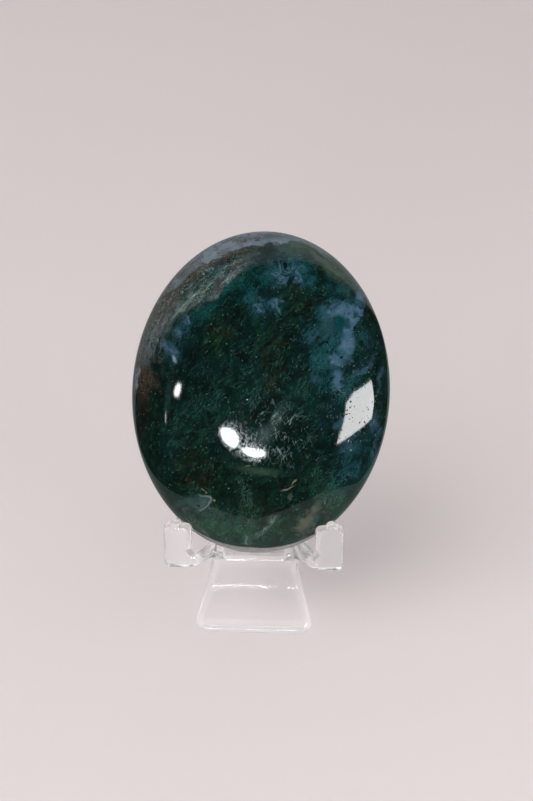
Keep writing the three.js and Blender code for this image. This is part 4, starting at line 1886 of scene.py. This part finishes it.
COOL_WHITE: Colour = (0.9, 0.97, 1.0)
PALE_CYAN: Colour = (0.75, 1.0, 1.0)
BEHIND = 0.66
CARDS = (
    GlowCard(
        "front_oval",
        45.0,
        ((-16.9, 13.6), (-10.6, 13.8), (-8.0, 11.4), (-8.2, 8.4), (-10.8, 6.9), (-15.4, 8.8), (-17.1, 10.9)),
        core=0.68,
        colour=COOL_WHITE,
    ),
    GlowCard(
        "front_arc",
        45.0,
        ((-9.8, 8.4), (-5.6, 8.9), (-0.8, 8.4), (2.4, 7.6), (2.2, 5.6), (-2.4, 4.8), (-7.4, 6.4)),
        core=0.62,
        colour=COOL_WHITE,
    ),
    GlowCard(
        "front_sweep",
        1.2,
        ((-20.5, 3.6), (-14.0, -0.2), (10.0, -3.4), (17.0, -1.4), (6.0, 2.6), (-6.0, 4.2)),
        core=0.1,
        colour=(0.5, 0.9, 0.68),
    ),
    GlowCard(
        "front_haze",
        0.7,
        ((-8.4, 6.4), (-3.0, 14.5), (10.5, 26.5), (12.5, 21.0), (6.5, 11.0), (2.0, 6.0)),
        core=0.15,
        colour=PALE_CYAN,
        distance=BEHIND,
    ),
    GlowCard(
        "front_veil",
        0.8,
        ((-7.8, 8.6), (-3.4, 15.0), (2.0, 16.5), (4.5, 11.5), (2.5, 8.0)),
        core=0.25,
        colour=PALE_CYAN,
        distance=BEHIND,
    ),
    GlowCard("left_oval", 26.0, ((-44.6, 19.2), (-38.4, 21.4), (-39.0, 15.0), (-45.4, 13.6)), core=0.46),
    GlowCard(
        "left_haze",
        0.4,
        ((-57.0, 26.0), (-45.0, 26.0), (-41.0, 8.0), (-52.0, -2.0)),
        core=0.1,
        colour=(0.4, 1.0, 0.85),
        distance=BEHIND,
    ),
    GlowCard("left_line", 9.0, ((-50.0, 8.6), (-48.8, 8.6), (-48.8, 3.2), (-50.2, 3.0))),
    GlowCard(
        "left_spark",
        5.0,
        ((-54.5, 25.6), (-46.5, 25.4), (-46.0, 23.2), (-53.5, 23.6)),
        colour=(0.7, 0.85, 1.0),
    ),
    GlowCard(
        "right_box",
        13.0,
        (
            (33.6, 1.8),
            (39.0, 9.8),
            (40.0, 13.6),
            (48.0, 14.8),
            (70.8, 9.6),
            (73.4, 0.3),
            (70.1, -5.0),
            (50.2, -0.4),
        ),
        core=0.95,
        rounding=1.2,
    ),
)


def mirror_mask(graph: Graph) -> Socket:
    """1 for rays that were mirrored, 0 for rays from the camera and rays bent by clear plastic."""
    path = graph.node("ShaderNodeLightPath")
    return graph.less(path.outputs["Is Glossy Ray"], path.outputs["Is Transmission Ray"])


@dataclass
class Studio:
    """Floor, sky, lamps and camera.

    The outlines are (x, y) in millimetres: the board's front from left to right, and the rear
    edge that it shares with the rest of the floor, from right to left. Each sky direction stands
    square to a plane that parts the sky from the dark room.
    """

    floor_colour: Colour = (0.69, 0.628, 0.628)
    mottle_share: float = 1.04
    floor_roughness: float = 0.9
    floor_gloss: float = 0.15
    sky_glow: Colour = (0.82, 0.80, 0.80)
    mirror_glow: Colour = (0.34, 0.34, 0.35)
    right_glow: Colour = (0.45, 0.48, 0.49)
    clear_glow: Colour = (0.62, 0.60, 0.60)
    side_share: float = 0.45
    top_share: float = 0.9
    dark_glow: Colour = (0.035, 0.037, 0.038)
    mirror_share: float = 0.54
    mirror_tint: Colour = (0.78, 1.0, 0.95)
    sky_left: tuple[float, float, float] = (0.09, 0.79, 0.61)
    sky_right: tuple[float, float, float] = (-0.485, 0.84, 0.243)
    sky_low_right: tuple[float, float, float] = (-0.479, 0.506, 0.7175)
    sky_softness: float = 0.012
    right_fade: tuple[float, float] = (-0.2, 0.45)
    foot_gap: float = 0.03
    far: float = 4000.0
    board_left: tuple[tuple[float, float], ...] = ((-72, -28), (-66, -79), (-42, -99), (-3, -89), (17, -110))
    board_right: tuple[tuple[float, float], ...] = ((44, -126), (77, -119), (78, -50), (69, -22))
    right_rear: tuple[tuple[float, float], ...] = ((72, 30), (138, 80), (150, 106), (100, 150), (300, 4000))
    left_rear: tuple[tuple[float, float], ...] = ((-2000, 4000), (-70, 35))
    aim: tuple[float, float, float] = (1.25, 1.30, 47.34)
    bearing: float = math.radians(2.0)
    elevation: float = math.radians(33.0)
    distance: float = 400.0
    lens: float = 82.56
    sensor: float = 36.0
    clip_start: float = 0.01

    def floor_material(self) -> bpy.types.Material:
        """A matt pale floor with a very faint mottle.

        Returns:
            The material.
        """
        material, graph, shader, _ = blank_material("pale floor")
        coordinates = graph.node("ShaderNodeTexCoord")
        mottle = graph.noise(coordinates.outputs["Object"], 9.0, 3)
        pale = tuple(self.mottle_share * part for part in self.floor_colour)
        pairs = zip(self.floor_colour, self.mirror_tint)
        dim = tuple(self.mirror_share * part * share for part, share in pairs)
        seen = graph.paint(mottle, self.floor_colour, pale)
        graph.feed(shader.inputs["Base Color"], graph.paint(mirror_mask(graph), seen, dim))
        shader.inputs["Roughness"].default_value = self.floor_roughness
        shader.inputs["Specular IOR Level"].default_value = self.floor_gloss
        return material

    def floor(self) -> None:
        """A board that the stone mirrors, and the rest of the floor round it, flush with it."""
        board = self.board_left + self.board_right
        corners = ((-self.far, self.far), (-self.far, -self.far), (self.far, -self.far), (self.far, self.far))
        rest = self.left_rear[::-1] + corners + self.right_rear[::-1] + board[::-1]
        material = self.floor_material()
        for name, outline, mirrored in (
            ("floor_board", board + self.right_rear + self.left_rear, True),
            ("floor_rest", rest, False),
        ):
            points = np.array([(x, y, -self.foot_gap) for x, y in outline]) * MM
            piece = mesh_object(name, points, [list(range(len(outline)))], smooth=False)
            piece.data.materials.append(material)
            piece.visible_glossy = mirrored

    def sky(self) -> None:
        """Soft light from above and behind, and a dark room in front.

        The light part is where a direction is on the upper side of three slanting planes, one
        for each of the three edges that the stone mirrors.
        """
        world = bpy.data.worlds.new("studio sky")
        graph = cleared_graph(world)
        direction = graph.node("ShaderNodeTexCoord").outputs["Generated"]
        above = 1.0
        for edge in (self.sky_left, self.sky_right, self.sky_low_right):
            above = graph.math("MINIMUM", above, graph.vector_math("DOT_PRODUCT", direction, edge))
        light = graph.ramp(above, -self.sky_softness, self.sky_softness)
        path = graph.node("ShaderNodeLightPath")
        to_right, _, up = graph.axes(direction)
        glow = graph.paint(graph.ramp(to_right, *self.right_fade), self.mirror_glow, self.right_glow)
        room = graph.paint(light, self.dark_glow, glow)
        colour = graph.paint(mirror_mask(graph), self.sky_glow, room)
        through = graph.paint(light, self.clear_glow, self.sky_glow)
        colour = graph.paint(path.outputs["Is Transmission Ray"], colour, through)
        more = graph.ramp(up, 0.0, 1.0, self.side_share - 1, self.top_share - 1)
        matt = graph.less(1.0, path.outputs["Is Glossy Ray"])
        strength = graph.math("MULTIPLY_ADD", matt, more, 1.0)
        background = graph.node("ShaderNodeBackground", Color=colour, Strength=strength)
        graph.node("ShaderNodeOutputWorld", Surface=background.outputs["Background"])
        bpy.context.scene.world = world

    def camera(self) -> None:
        """The camera at the photograph's viewing angle."""
        data = bpy.data.cameras.new("camera")
        data.lens = self.lens
        data.sensor_width = self.sensor
        data.clip_start = self.clip_start
        camera = placed("camera", data)
        back = Vector(away_from(self.bearing, self.elevation))
        spot = (Vector(self.aim) + back * self.distance) * MM
        camera.matrix_world = Matrix.Translation(spot) @ back.to_track_quat("Z", "Y").to_matrix().to_4x4()
        bpy.context.scene.camera = camera

    def build(self, aim: Vector) -> None:
        """Makes the whole studio round the aim.

        Args:
            aim: The middle of the stone.
        """
        self.camera()
        self.floor()
        self.sky()
        for lamp in (*CARDS, Softbox()):
            lamp.build(aim)
        bpy.context.scene.view_settings.view_transform = "Standard"


def main() -> None:
    """Builds the stone, the stand and the studio in order."""
    logging.basicConfig(level=logging.INFO, format="%(message)s")
    kit = PatternKit.make()
    stone = PalmStone(kit)
    for piece in (stone.build(), DisplayStand(kit).build()):
        LOG.info("%s: %d faces", piece.name, len(piece.data.polygons))
    Studio().build(stone.centre())


if __name__ == "__main__":
    main()
